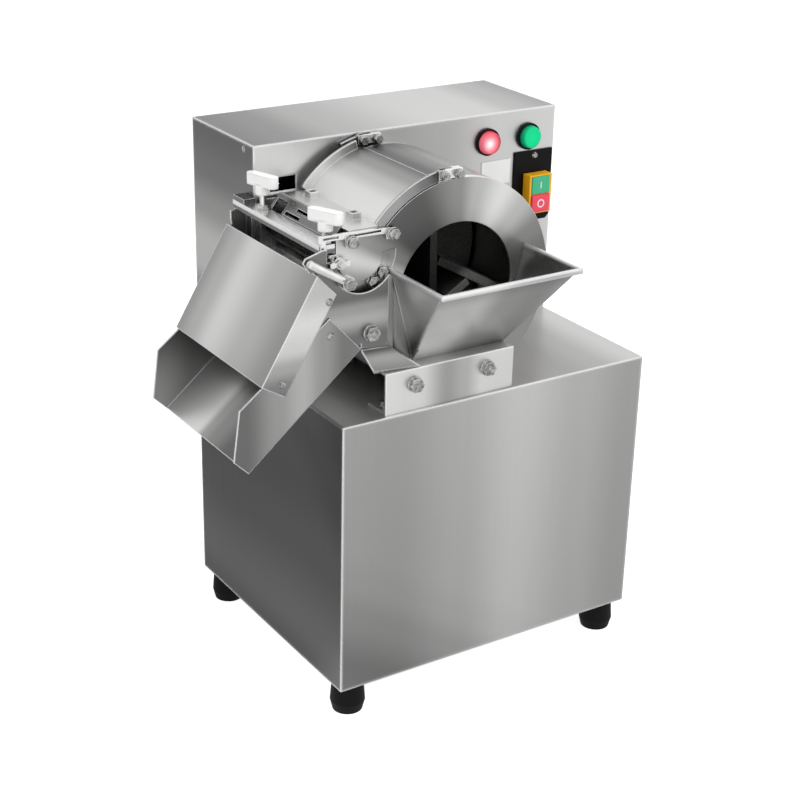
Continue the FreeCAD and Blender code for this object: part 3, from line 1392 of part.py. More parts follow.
def switch():
    y0 = tow_y - switch_t
    x0 = switch_x
    x1 = switch_x + switch_w
    z0 = switch_z
    z1 = switch_z + switch_h
    points = [(x0, z0 + 5), (x0 + 5, z0), (x1 - 5, z0), (x1, z0 + 5), (x1, z1), (x0, z1)]
    plate = front_slab("switch_sheet", y0, tow_y, points, [(x0 + 26, z1 - 5.5, m4_r + play)])
    hole = box("switch_hole", house_x + house_wall, house_x + house_w - house_wall, y0 - 1,
               tow_y + 1, house_z + house_wall, house_z + house_h - house_wall)
    node("switch_plate", cut("switch_cut", plate, [hole]))
    front = y0 - house_d + 1
    out = box("yellow_out", house_x, house_x + house_w, front, y0, house_z, house_z + house_h)
    shaft_box = box("yellow_back", house_x + house_wall + play, house_x + house_w - house_wall
                    - play, y0 - 1, tow_y + 26, house_z + house_wall + play,
                    house_z + house_h - house_wall - play)
    block = fuse("yellow_solid", [out, shaft_box])
    wells = []
    for step, (x, z) in enumerate(button_places()):
        wells.append(box("well%d" % step, x - button_w / 2 - play, x + button_w / 2 + play,
                         front - 1, front + button_d + 4, z - button_h / 2 - play,
                         z + button_h / 2 + play))
    node("switch_housing", cut("yellow_cut", block, wells))
    for label, (x, z), proud in (("start_button", button_places()[0], 0),
                                 ("stop_button", button_places()[1], 1.2)):
        y = front - button_out - proud
        group(label, [box(label + "_cap", x - button_w / 2, x + button_w / 2, y,
                          y + button_d + button_out, z - button_h / 2, z + button_h / 2)])


def button_places():
    x = house_x + house_w / 2
    z = house_z + house_h / 2
    return [(x, z + button_h / 2 + 0.6), (x, z - button_h / 2 - 0.6)]


def nameplate():
    y0 = tow_y - name_t
    plate = front_slab("name_sheet", y0, tow_y, rect(name_x, name_z, name_x + name_w,
                                                      name_z + name_h))
    node("nameplate", plate)


def fasteners(feet_studs):
    m8 = [m8_bolt("m8_tower%d" % step, x, rear_y, z, back_t + wall + 8)
          for step, (x, z) in enumerate(drum_bolts())]
    m8 += [m8_bolt("m8_bearing%d" % step, x, rear_y, z, back_t + wall + 8)
           for step, (x, z) in enumerate(bearing_bolts())]
    m8 += [m8_bolt("m8_bracket%d" % step, x, brk_y, z, brk_t + 8)
           for step, (x, z) in enumerate(bracket_bolts())]
    m8.append(m8_bolt("m8_panel", *panel_place(), length=plate_t * 2 + chute_over - sheet_t))
    for step, (x, z) in enumerate(drum_bolts()):
        nut = hexagon("drum_nut_hex%d" % step, x, tow_y + wall, z, m8_af, 6)
        bore = rod("drum_nut_bore%d" % step, x, tow_y, z, m8_r + 0.02, 9)
        m8.append(cut("drum_nut%d" % step, nut, [bore]))
    motor_top = motor_z - motor_r - 4
    m8 += [upright_bolt("motor_bolt%d" % step, x, y, motor_top + 12, m8_r, 22)
           for step, (x, y) in enumerate(motor_bolts())]
    group("m8_bolts", m8 + feet_studs)
    m6 = [m6_bolt("m6_frame%d" % step, x, side_y, z, 7.5)
          for step, (x, z) in enumerate(frame_bolts())]
    m6 += [m6_bolt("m6_strap%d" % step, x, cover_y - 3, z, 9)
           for step, (x, z) in enumerate(strap_bolts())]
    for step, x in enumerate((pivot_x, link_x)):
        m6.append(hex_bolt("m6_front_pin%d" % step, x, link_y(), pivot_z, m6_r, pin_af, m6_head,
                           pin_af / 2, 7))
        m6.append(hex_bolt("m6_rear_pin%d" % step, x, link_back(), pivot_z, m6_r, pin_af,
                           m6_head, pin_af / 2, 6.2 + 1.4 * step))
    head = hexagon("latch_bolt_head", latch_x(), cover_y - 22.8, latch_z(), m6_af, 4)
    shank = rod("latch_bolt_shank", latch_x(), cover_y - 19, latch_z(), m6_r,
                plate_t * 2 + 19)
    m6.append(fuse("latch_bolt_solid", [head, shank]))
    m6 += [upright_bolt("m6_foot%d" % step, x, brk_y + brk_foot / 2, cab_h + brk_t)
           for step, x in enumerate(foot_bolts())]
    group("m6_bolts", m6)
    m4 = [pan_screw("m4_near%d" % step, x, y, z, 3.6)
          for step, (x, y, z) in enumerate(near_screws())]
    m4 += [pan_screw("m4_cover%d" % step, x, cab_d + wall, z, 8,
                     FreeCAD.Rotation(V(1, 0, 0), 90))
           for step, (x, z) in enumerate(cover_screws())]
    m4.append(pan_screw("m4_switch", switch_x + 26, tow_y - switch_t, switch_z + switch_h - 5.5, 3))
    group("m4_screws", m4)


def panel_place():
    x, z = panel_bolt()
    return x, chute_y0 + sheet_t, z


def near_screws():
    screws = [(x, chute_y0 - sheet_t, z) for x, z in [chute_screws()[0], lower_screw()]]
    return screws + [(chute_screws()[1][0], chute_y0, chute_screws()[1][1])]


def upright_bolt(name, x, y, z, radius=m6_r, length=10):
    """A hex bolt pointing down from the plane z."""
    washer = rod(name + "_washer", x, y, z, as_size(radius) * 2, washer_t, UPRIGHT)
    head = hexagon(name + "_head", x, y, z + washer_t, as_size(radius) * 3.3, 4.5, UPRIGHT)
    shank = rod(name + "_shank", x, y, z - length, radius, as_size(length) + 1, UPRIGHT)
    return fuse(name, [washer, head, shank])


def cross_cut_rotor():
    """The small cross cutter below the discharge bar: a shaft with four straight blades."""
    y0 = shell_y0 + 8
    y1 = rear_y - 8
    parts = [rod("rotor_core", rotor_x, y0 - 3, rotor_z, rotor_hub_r, y1 - y0 + 6)]
    parts.append(rod("rotor_rod", rotor_x, side_y + 0.3, rotor_z, rotor_shaft_r,
                     sync_y + sync_w - side_y))
    for step in range(4):
        angle = 20 + 90 * step
        root = polar(rotor_hub_r - 1.5, angle, rotor_x, rotor_z)
        tip = polar(rotor_r - 0.1, angle, rotor_x, rotor_z)
        thick = polar(2, angle + 90, tip[0], tip[1])
        heel = polar(3, angle + 90, root[0], root[1])
        blade = front_slab("rotor_blade%d" % step, y0, y1, [root, tip,
                                                            polar(-1.5, angle, *thick), heel])
        parts.append(blade)
    node("cross_cut_rotor", fuse("rotor_solid", parts))


housing_shell()
bottom_pan()
studs = rubber_feet()
rear_cover()
cable_gland()
motor()
pulleys()
belts()
shaft_nut = main_shaft()
sync_wheels()
bearings()
drum_frame_front()
drum_frame_rear()
drum_shell()
front_cover()
slice_gate()
hinge_links()
impeller(shaft_nut)
slicing_knife()
cross_cut_rotor()
discharge_bar()
rear_clamp()
t_screws()
front_strap()
wing_nut()
hood_latch()
throat_panels()
chute_tray()
chute_hood()
feed_hopper()
saddle_plate()
bracket()
lamps()
switch()
nameplate()
fasteners(studs)

doc.recompute()
faults = []
for thing in doc.Objects:
    if any(word in ("Invalid", "Error") for word in thing.State):
        faults.append("%s is %s" % (thing.Name, ", ".join(thing.State)))
for thing in nodes:
    if thing.Shape.isNull() or not thing.Shape.isValid():
        faults.append("%s has a bad shape" % thing.Label)
if faults:
    raise SystemExit("\n".join(faults))

os.makedirs("parts", exist_ok=True)
for thing in nodes:
    thing.Shape.exportStep("parts/%s.step" % thing.Label)
print("wrote", len(nodes), "parts")
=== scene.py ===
# %% [markdown]
# # A vegetable cutting machine in brushed stainless steel
# The machine comes in as finished solids. What is made here is its look: the sheet steel, the
# small castings and plastics, a plain studio, and the camera of the photograph.

# %% Load the machine
import bpy, bmesh
from math import acos, cos, degrees, pi, radians, sin
from mathutils import Matrix, Vector


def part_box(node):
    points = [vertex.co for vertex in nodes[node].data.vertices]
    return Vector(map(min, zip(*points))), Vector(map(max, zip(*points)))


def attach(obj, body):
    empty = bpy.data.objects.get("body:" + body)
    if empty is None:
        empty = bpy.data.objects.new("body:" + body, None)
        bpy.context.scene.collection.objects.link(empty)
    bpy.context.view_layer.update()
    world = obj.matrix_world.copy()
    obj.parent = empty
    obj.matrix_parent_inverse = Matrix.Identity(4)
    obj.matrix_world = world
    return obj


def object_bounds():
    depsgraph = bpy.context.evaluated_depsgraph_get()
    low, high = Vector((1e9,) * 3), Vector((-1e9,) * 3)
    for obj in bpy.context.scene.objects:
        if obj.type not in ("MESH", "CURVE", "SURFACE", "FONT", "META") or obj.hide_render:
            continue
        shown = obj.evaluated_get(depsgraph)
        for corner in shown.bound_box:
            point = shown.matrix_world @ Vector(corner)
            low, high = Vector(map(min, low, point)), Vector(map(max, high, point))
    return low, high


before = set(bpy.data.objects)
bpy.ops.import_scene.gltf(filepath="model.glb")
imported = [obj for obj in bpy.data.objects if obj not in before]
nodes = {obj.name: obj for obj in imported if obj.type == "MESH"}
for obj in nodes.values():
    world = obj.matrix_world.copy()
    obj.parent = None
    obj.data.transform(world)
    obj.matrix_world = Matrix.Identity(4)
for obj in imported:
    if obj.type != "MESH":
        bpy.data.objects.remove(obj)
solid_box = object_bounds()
print("nodes:", len(nodes))
print("box in metres:", [[round(value, 3) for value in corner] for corner in solid_box])

# %% [markdown]
# ## Camera
# The photograph was taken from the front left, a little above the machine. Its angle was found
# by fitting the corners of the cabinet and of the tower, so the camera is set from angles: it
# turns round the upright axis, tilts down, and rolls by a little over a degree.

# %% Place the camera
def in_scene(name, data):
    """A new object in the scene, with this data."""
    thing = bpy.data.objects.new(name, data)
    bpy.context.scene.collection.objects.link(thing)
    return thing


TURN, TILT, ROLL = radians(-33.197), radians(23.491), radians(1.363)
CAMERA_PLACE = Vector((-0.86235, -1.3471, 0.9706))
FOCAL_PIXELS, PICTURE_PIXELS, SENSOR = 1689.5, 800, 36.0
back = Vector((sin(TURN) * cos(TILT), -cos(TURN) * cos(TILT), sin(TILT)))
right = Vector((cos(TURN), sin(TURN), 0))
up = back.cross(right)
across = right * cos(ROLL) + up * sin(ROLL)
upward = up * cos(ROLL) - right * sin(ROLL)
camera = in_scene("camera", bpy.data.cameras.new("camera"))
camera.matrix_world = (Matrix.Translation(CAMERA_PLACE)
                       @ Matrix((across, upward, back)).transposed().to_4x4())
camera.data.sensor_width = SENSOR
camera.data.lens = SENSOR * FOCAL_PIXELS / PICTURE_PIXELS
bpy.context.scene.camera = camera
bpy.context.scene.view_settings.view_transform = "Standard"
print("lens, mm:", round(camera.data.lens, 2))

# %% [markdown]
# ## Colour and nodes
# Colours are picked as sRGB hex values, and Blender mixes light in linear values, so one
# function turns the first into the second. A second one adds a node to a material, with its
# settings and what goes into it. Lengths on the machine are written in millimetres, times MM,
# and the studio's larger ones in metres.

# %% Colour and node helpers
MM = 0.001


def linear(hex_colour):
    """An sRGB hex colour as linear red, green, blue and alpha."""
    values = []
    for start in (0, 2, 4):
        share = int(hex_colour[start:start + 2], 16) / 255
        values.append(share / 12.92 if share <= 0.04045 else ((share + 0.055) / 1.055) ** 2.4)
    return (*values, 1)


def add(tree, kind, inputs=None, **settings):
    """Adds a node; an input is given a value, or is linked where it is given a socket."""
    node = tree.nodes.new(kind)
    for name, value in settings.items():
        setattr(node, name, value)
    for name, value in (inputs or {}).items():
        if isinstance(value, bpy.types.NodeSocket):
            tree.links.new(value, node.inputs[name])
        else:
            node.inputs[name].default_value = value
    return node


def blank(name):
    """A new material and its node tree, cleared."""
    material = bpy.data.materials.new(name)
    material.use_nodes = True
    material.node_tree.nodes.clear()
    return material, material.node_tree


def finish_with(tree, shader):
    """Ends a material with its shader."""
    add(tree, "ShaderNodeOutputMaterial", {"Surface": shader.outputs[0]})


print("mid grey #808080 is", round(linear("808080")[0], 3), "in linear light")

# %% [markdown]
# ## Bands of light on the sheets
# Brushed sheet mirrors a studio as soft bands of light and dark, and no sheet is quite flat, so
# each one mirrors another part of it. Here each sheet gets its own bands, painted into its
# colour:
# painted reflections, painted highlights and painted shade. A band is a run of greys along a
# measure of the machine: millimetres from the cabinet's front left corner, or degrees round the
# drum's axis. A rule may hold for the faces that look along one axis, or for one region, and
# where rules meet, their greys are multiplied.

# %% Runs of grey
def run_of_greys(tree, value, stops):
    """A soft run of greys along a value; the stops are (value, grey), from low to high."""
    low, high = stops[0][0], stops[-1][0]
    share = add(tree, "ShaderNodeMapRange", {"Value": value, "From Min": low, "From Max": high})
    run = add(tree, "ShaderNodeValToRGB", {"Fac": share.outputs[0]})
    run.color_ramp.interpolation = "EASE"
    points = run.color_ramp.elements
    for point, (_, grey) in ((points[0], stops[0]), (points[-1], stops[-1])):
        point.color = (grey, grey, grey, 1)
    for place, grey in stops[1:-1]:
        points.new((place - low) / (high - low)).color = (grey, grey, grey, 1)
    return run.outputs["Color"]


FRAME_TO_CORNER = (126.75, 128.0, -34.0)
DRUM_X, DRUM_Z = 137, 396
SLANT = 0.6


def measures(tree):
    """What a run can go along, by name.

    X, Y and Z are millimetres from the cabinet's corner. turn is degrees about the drum, from
    its right over its top. slant is height plus a share of X, and corner is height less depth,
    which is largest at the upper front corner of a side."""
    place = add(tree, "ShaderNodeTexCoord")
    spot = add(tree, "ShaderNodeMapping", {"Vector": place.outputs["Object"],
                                           "Location": FRAME_TO_CORNER,
                                           "Scale": (1 / MM, 1 / MM, 1 / MM)})
    spot = add(tree, "ShaderNodeSeparateXYZ", {0: spot.outputs[0]})
    over = add(tree, "ShaderNodeMath", {0: spot.outputs["Z"], 1: DRUM_Z}, operation="SUBTRACT")
    aside = add(tree, "ShaderNodeMath", {0: DRUM_X, 1: spot.outputs["X"]}, operation="SUBTRACT")
    turn = add(tree, "ShaderNodeMath", {0: aside.outputs[0], 1: over.outputs[0]},
               operation="ARCTAN2")
    turn = add(tree, "ShaderNodeMath", {0: turn.outputs[0]}, operation="DEGREES")
    turn = add(tree, "ShaderNodeMath", {0: turn.outputs[0], 1: 90}, operation="ADD")
    slant = add(tree, "ShaderNodeMath", {0: spot.outputs["X"], 1: SLANT, 2: spot.outputs["Z"]},
                operation="MULTIPLY_ADD")
    corner = add(tree, "ShaderNodeMath", {0: spot.outputs["Z"], 1: spot.outputs["Y"]},
                 operation="SUBTRACT")
    return {"X": spot.outputs["X"], "Y": spot.outputs["Y"], "Z": spot.outputs["Z"],
            "turn": turn.outputs[0], "slant": slant.outputs[0], "corner": corner.outputs[0]}


print("the drum's axis, mm from the corner:", DRUM_X, DRUM_Z)

# %% [markdown]
# A mask is 1 where a rule holds and 0 elsewhere, and outside it the rule's grey is replaced by
# white, which leaves the steel as it is.

# %% Bands
FACING, FLAT = 0.7, 0.8


def facing_axes(tree):
    """The cosine of the surface's tilt from each axis, on either side."""
    place = add(tree, "ShaderNodeTexCoord")
    facing = add(tree, "ShaderNodeVectorMath", {0: place.outputs["Normal"]}, operation="ABSOLUTE")
    return add(tree, "ShaderNodeSeparateXYZ", {0: facing.outputs[0]})


def bands(tree, rules):
    """The product of the runs of grey in the rules, painted light and shade: (faces, measure,
    region, stops).
    """
    along, facing = measures(tree), facing_axes(tree)
    product = None
    for faces, measure, region, stops in rules:
        grey = run_of_greys(tree, along[measure], stops)
        masks = [add(tree, "ShaderNodeMath", {0: along[name], 1: (low + high) / 2,
                                              2: (high - low) / 2}, operation="COMPARE")
                 for name, low, high in region]
        if faces:
            masks.append(add(tree, "ShaderNodeMath", {0: facing.outputs[faces], 1: FACING},
                             operation="GREATER_THAN"))
        share = 1.0
        for mask in masks:
            share = add(tree, "ShaderNodeMath", {0: mask.outputs[0], 1: share},
                        operation="MULTIPLY").outputs[0]
        part = add(tree, "ShaderNodeMix", {"Factor": share, "A": 1.0, "B": grey},
                   data_type="FLOAT").outputs[0]
        if product is not None:
            part = add(tree, "ShaderNodeMath", {0: product, 1: part},
                       operation="MULTIPLY").outputs[0]
        product = part
    return product


print("cosines above which a face looks along an axis:", FACING, "or is a flat top:", FLAT)

# %% [markdown]
# ## Hollows and edges
# Hollows hold less light than clean sheet does, so metal darkens in them, and here that is
# painted shade in the metal's colour: the ambient occlusion node tells how much is open. A
# sheared or
# folded edge catches the light: the bevel node rounds the edges in the shading alone, and where
# it turns the normal, the metal's colour is paler, a painted highlight. Both are worked out from
# the shape, so they fit every sheet.

# %% Hollows and edges
DEEPEST, SHARPEST = 0.1, 0.9


def painted_hollow_shade(tree, tone, reach, clear, left):
    """The tone with painted shade: whole where the share clear is open, down to left where only
    DEEPEST is.
    """
    hollow = add(tree, "ShaderNodeAmbientOcclusion", {"Distance": reach}, samples=6)
    share = add(tree, "ShaderNodeMapRange", {"Value": hollow.outputs["AO"],
                                             "From Min": DEEPEST, "From Max": clear,
                                             "To Min": left, "To Max": 1.0})
    return add(tree, "ShaderNodeVectorMath", {0: tone, "Scale": share.outputs[0]},
               operation="SCALE").outputs[0]


def rounded_edges(tree, radius, samples, start, most=1.0):
    """The normal with rounded edges, and a mask of the edges.

    The mask goes from 0, where the cosine of the normal's turn is start, to most where it
    is SHARPEST."""
    rounded = add(tree, "ShaderNodeBevel", {"Radius": radius}, samples=samples)
    sharp = add(tree, "ShaderNodeNewGeometry")
    agree = add(tree, "ShaderNodeVectorMath", {0: rounded.outputs[0], 1: sharp.outputs["Normal"]},
                operation="DOT_PRODUCT")
    mask = add(tree, "ShaderNodeMapRange", {"Value": agree.outputs["Value"], "From Min": start,
                                            "From Max": SHARPEST, "To Max": most})
    return rounded.outputs[0], mask.outputs[0]


print("edges are palest where the normal turns by", round(degrees(acos(SHARPEST))), "degrees")

# %% [markdown]
# ## Brushed sheet steel
# The cabinet, covers and chutes are 304 stainless sheet with a brushed finish: fine scratches
# that all run one way. Real scratches are about 0.05 mm apart, too fine to show, so they are
# drawn 0.9 mm apart here, and 0.3 mm on the small plates. On upright sheets they run up and
# down, and on flat ones from front to back, so a noise is squeezed along one axis or another.

# %% Brushed steel
SCRATCH_DEPTH = 0.02 * MM
# The near-white of the painted highlight on the outer edges.
EDGE_HIGHLIGHT = "fdfdfd"


def scratches(tree, grain, run):
    """Scratches this far apart and this long, up and down, or front to back on flat tops."""
    place = add(tree, "ShaderNodeTexCoord")
    flat = add(tree, "ShaderNodeMath", {0: facing_axes(tree).outputs["Z"], 1: FLAT},
               operation="GREATER_THAN")
    grains = []
    for scale in ((1 / grain, 1 / grain, 1 / run), (1 / grain, 1 / run, 1 / grain)):
        squeezed = add(tree, "ShaderNodeMapping", {"Vector": place.outputs["Object"],
                                                   "Scale": scale})
        grains.append(add(tree, "ShaderNodeTexNoise", {"Vector": squeezed.outputs[0],
                                                       "Scale": 1.0, "Detail": 3.0}))
    return add(tree, "ShaderNodeMix", {"Factor": flat.outputs[0], "A": grains[0].outputs[0],
                                       "B": grains[1].outputs[0]}, data_type="FLOAT").outputs[0]


def edges_with_highlight(tree, radius, edges_from):
    """The normal with rounded edges, and a mask for the painted highlight on the outer edges
    above a height, if any.
    """
    normal, turned = rounded_edges(tree, radius, 6, 0.995)
    crease = add(tree, "ShaderNodeAmbientOcclusion", {"Distance": 1.5 * radius}, samples=4)
    outer = add(tree, "ShaderNodeMapRange", {"Value": crease.outputs["AO"], "From Min": 0.6,
                                             "From Max": 0.95})
    mask = add(tree, "ShaderNodeMath", {0: turned, 1: outer.outputs[0]}, operation="MULTIPLY")
    if edges_from is not None:
        place = add(tree, "ShaderNodeTexCoord")
        height = add(tree, "ShaderNodeSeparateXYZ", {0: place.outputs["Object"]})
        above = add(tree, "ShaderNodeMath", {0: height.outputs["Z"], 1: edges_from},
                    operation="GREATER_THAN")
        mask = add(tree, "ShaderNodeMath", {0: mask.outputs[0], 1: above.outputs[0]},
                   operation="MULTIPLY")
    return normal, mask.outputs[0]


def brushed_steel(name, light, dark, gloss, rules=(), run=120 * MM, edge=2.0 * MM, deep=0.7,
                  grain=0.9 * MM, edges_from=None):
    """Brushed steel between two greys, with painted bands of light and shade.

    Gloss is its roughness, deep the share of its tone that painted shade leaves in a hollow, and
    edges_from the height in metres above which its edges get a painted highlight, where that
    isn't everywhere."""
    material, tree = blank(name)
    scratch = scratches(tree, grain, run)
    tone = add(tree, "ShaderNodeMix", {"Factor": scratch, "A": linear(dark), "B": linear(light)},
               data_type="RGBA").outputs[2]
    if rules:
        tone = add(tree, "ShaderNodeVectorMath", {0: tone, "Scale": bands(tree, rules)},
                   operation="SCALE").outputs[0]
    # Painted shade: the colour is darkened in the hollows.
    tone = painted_hollow_shade(tree, tone, 60 * MM, 0.6, deep)
    # The edges are rounded in the shading, and a painted highlight mixes their colour towards
    # near-white.
    normal, highlit_edge = edges_with_highlight(tree, edge, edges_from)
    tone = add(tree, "ShaderNodeMix", {"Factor": highlit_edge, "A": tone, "B": linear(EDGE_HIGHLIGHT)},
               data_type="RGBA")
    rough = add(tree, "ShaderNodeMapRange", {"Value": scratch, "From Min": 0.25,
                                             "From Max": 0.75, "To Min": gloss - 0.05,
                                             "To Max": gloss + 0.06})
    bump = add(tree, "ShaderNodeBump", {"Strength": 0.12, "Distance": SCRATCH_DEPTH,
                                        "Height": scratch, "Normal": normal})
    finish_with(tree, add(tree, "ShaderNodeBsdfPrincipled", {
        "Base Color": tone.outputs[2], "Metallic": 1.0, "Roughness": rough.outputs[0],
        "Normal": bump.outputs[0]}))
    return material


SHEET = ("f6f6f5", "ececeb", 0.34)
PLATE = ("fafafa", "f4f4f3", 0.27)
# The plain sheet and plate are painted much darker in their hollows, a painted shade.
plain_sheet = brushed_steel("brushed stainless sheet", "bdbdbc", "b1b1b0", 0.36, deep=0.15)
plain_plate = brushed_steel("brushed stainless plate", *PLATE, run=40 * MM, edge=0.8 * MM,
                            deep=0.06, grain=0.3 * MM)
print("plain steels:", plain_sheet.name, "and", plain_plate.name)

# %% [markdown]
# ## The cabinet's bands
# The cabinet and its tower are one welded shell, with painted reflections and painted shade. Its
# front is darkest at the lower left, and its left side has a painted light band at the height of
# the drum. The tower's top is darkest at the left, the cabinet's top right of its middle. The
# folds are wide, so their painted highlight shows well.

# %% Bands of the cabinet and tower
CABINET_FRONT, TOWER_FRONT = ("Y", -80, 85), ("Y", 85, 320)
CABINET_TOP, TOWER_TOP = ("Z", 100, 400), ("Z", 400, 600)
BEFORE_TOWER = ("Y", -10, 165)
HOUSING_BANDS = [
    ("Y", "X", [CABINET_FRONT], [(0, 0.5), (60, 0.47), (135, 0.58), (205, 0.74), (285, 0.58),
                                 (345, 0.47)]),
    ("Y", "slant", [CABINET_FRONT], [(30, 0.55), (90, 0.8), (130, 0.95), (170, 1.0)]),
    ("Y", "X", [TOWER_FRONT], [(0, 1.0), (60, 0.9), (165, 0.46), (215, 0.5), (290, 0.72),
                               (360, 0.75)]),
    ("Z", "X", [TOWER_TOP], [(0, 0.27), (45, 0.33), (100, 0.53), (215, 0.73), (275, 0.71),
                             (320, 0.51), (360, 0.37)]),
    ("Z", "X", [CABINET_TOP], [(0, 1.0), (120, 0.9), (230, 0.45), (270, 0.42), (305, 0.48),
                               (350, 0.68)]),
    ("X", "Z", [], [(0, 0.18), (35, 0.24), (130, 0.14), (200, 0.105), (250, 0.11), (290, 0.16),
                    (325, 0.29), (365, 0.9), (392, 0.9), (430, 0.53), (466, 0.29),
                    (510, 0.2)]),
    ("X", "Y", [], [(0, 1.0), (260, 0.7)]),
    ("X", "corner", [BEFORE_TOWER], [(120, 1.0), (200, 0.72), (280, 0.4)]),
]
housing_steel = brushed_steel("brushed housing sheet", *SHEET, HOUSING_BANDS, edge=3.6 * MM,
                              deep=1.0)
print("cabinet and tower bands:", len(HOUSING_BANDS))

# %% [markdown]
# ## The chute's bands
# The hood has one painted light band where it turns up to the knives. The tray below it is a
# folded trough: its near wall has painted bands, its far wall has the hood's shadow painted on
# it, and its floor is painted in greys that offset its shading, so it shows an even grey. The
# throat's side panel has a painted light band at half its height.

# %% Bands of the chute
NEAR_WALL, FAR_WALL = ("Y", -10, 100), ("Y", 100, 200)
HOOD_BANDS = [
    ("Y", "Z", [], [(300, 0.13), (319, 0.18), (336, 0.3), (354, 0.52), (371, 0.82), (392, 0.92),
                    (420, 0.68)]),
    ("X", "Y", [], [(12, 0.36), (70, 0.54), (126, 0.76), (160, 0.52), (187, 0.38)]),
    ("X", "Z", [], [(290, 0.85), (370, 1.0)]),
]
TRAY_BANDS = [
    ("Y", "X", [NEAR_WALL], [(-95, 0.22), (-60, 0.44), (-35, 0.6), (-12, 0.42), (10, 0.26)]),
    # The hood's shadow, painted on the far wall.
    ("Y", "X", [FAR_WALL], [(-106, 0.33), (-60, 0.14)]),
    ("Z", "X", [], [(-106, 0.85), (-60, 1.0)]),
    ("Z", "Y", [], [(20, 0.15), (60, 0.18), (92, 0.34), (107, 0.47), (121, 1.0)]),
]
THROAT_BANDS = [
    ("Y", "Z", [], [(350, 0.23), (368, 0.22), (386, 0.56), (397, 0.44), (408, 0.21),
                    (425, 0.26)]),
]
hood_steel = brushed_steel("brushed hood sheet", *SHEET, HOOD_BANDS, edge=2.4 * MM)
tray_steel = brushed_steel("brushed tray sheet", *SHEET, TRAY_BANDS, deep=1.0)
throat_steel = brushed_steel("brushed throat sheet", *SHEET, THROAT_BANDS)
print("chute bands:", len(HOOD_BANDS + TRAY_BANDS + THROAT_BANDS))

# %% [markdown]
# ## The hopper's bands
# The hopper flares from the feed opening to a rolled rim. The edges from the rim up get a painted
# highlight all round, and the four welded seams under it get none. The hopper, the bracket and
# the curved saddle under it have painted bands of light and shade, each of their own.

# %% Bands of the hopper and its support
RIM_FOOT, BELOW_RIM = 421, ("Z", 300, 422.5)
LEFT_SEAM = [("X", 40, 86), ("Y", 5, 40)]
HOPPER_BANDS = [
    ("Y", "Z", [BELOW_RIM], [(375, 1.0), (400, 0.9), (424, 0.58)]),
    ("Y", "Z", LEFT_SEAM, [(330, 0.3), (424, 0.4)]),
    ("Y", "X", [], [(80, 1.0), (115, 1.0), (150, 0.6), (190, 0.5), (225, 0.75)]),
    ("X", "Z", [BELOW_RIM], [(335, 0.75), (355, 0.8), (385, 1.0), (420, 0.95)]),
]
BRACKET_BANDS = [
    ("Y", "X", [], [(45, 0.95), (85, 0.9), (118, 0.46), (138, 0.58), (160, 0.87), (195, 0.85)]),
]
SADDLE_BANDS = [(None, "Z", [], [(331, 0.28), (345, 0.4), (354, 0.1)])]
hopper_steel = brushed_steel("brushed hopper sheet", *SHEET, HOPPER_BANDS, edge=4.5 * MM,
                             edges_from=(RIM_FOOT - FRAME_TO_CORNER[2]) * MM)
bracket_steel = brushed_steel("brushed bracket sheet", *SHEET, BRACKET_BANDS, edge=2.6 * MM)
saddle_steel = brushed_steel("brushed saddle sheet", *SHEET, SADDLE_BANDS)
print("hopper and support bands:", len(HOPPER_BANDS + BRACKET_BANDS + SADDLE_BANDS))

# %% [markdown]
# ## The drum's bands
# The drum's front plates were turned on a lathe, and their bands, painted reflections that fan
# out from the middle, go round the drum's axis. The rolled mantle has painted bands of light and
# shade along its curve, with a dark one just left of its top. The bar, comb and clamp at its left
# are painted a flat dark grey, a painted shade.

# %% Bands of the drum
FRONT_RIM = ("Y", 15, 27)
COVER_BANDS = [
    ("Y", "turn", [], [(-20, 0.35), (14, 0.22), (28, 0.3), (44, 0.6), (60, 0.9), (78, 0.6),
                       (90, 0.36), (116, 0.15), (136, 0.16), (150, 0.45), (158, 0.9),
                       (167, 0.42), (185, 0.36)]),
]
MANTLE_BANDS = [
    (None, "turn", [], [(60, 0.6), (78, 0.48), (88, 0.28), (97, 0.17), (102, 0.22), (110, 0.47),
                        (118, 0.74), (128, 0.95), (180, 0.95)]),
    (None, "Y", [FRONT_RIM], [(15, 0.5), (27, 0.5)]),
]
# Painted shade: the bar, comb and clamp are painted a flat dark grey.
PAINTED_DARK_SHADE = [(None, "Z", [], [(0, 0.22), (600, 0.22)])]
cover_steel = brushed_steel("turned cover plate", *SHEET, COVER_BANDS, edge=0.9 * MM)
frame_steel = brushed_steel("turned frame plate", *SHEET, COVER_BANDS, edge=0.3 * MM)
mantle_steel = brushed_steel("satin stainless drum", *SHEET, MANTLE_BANDS, 200 * MM)
shade_painted_plate = brushed_steel("stainless plate, painted shade", *PLATE, PAINTED_DARK_SHADE, edge=0.8 * MM)
print("drum bands:", len(COVER_BANDS + MANTLE_BANDS + PAINTED_DARK_SHADE))
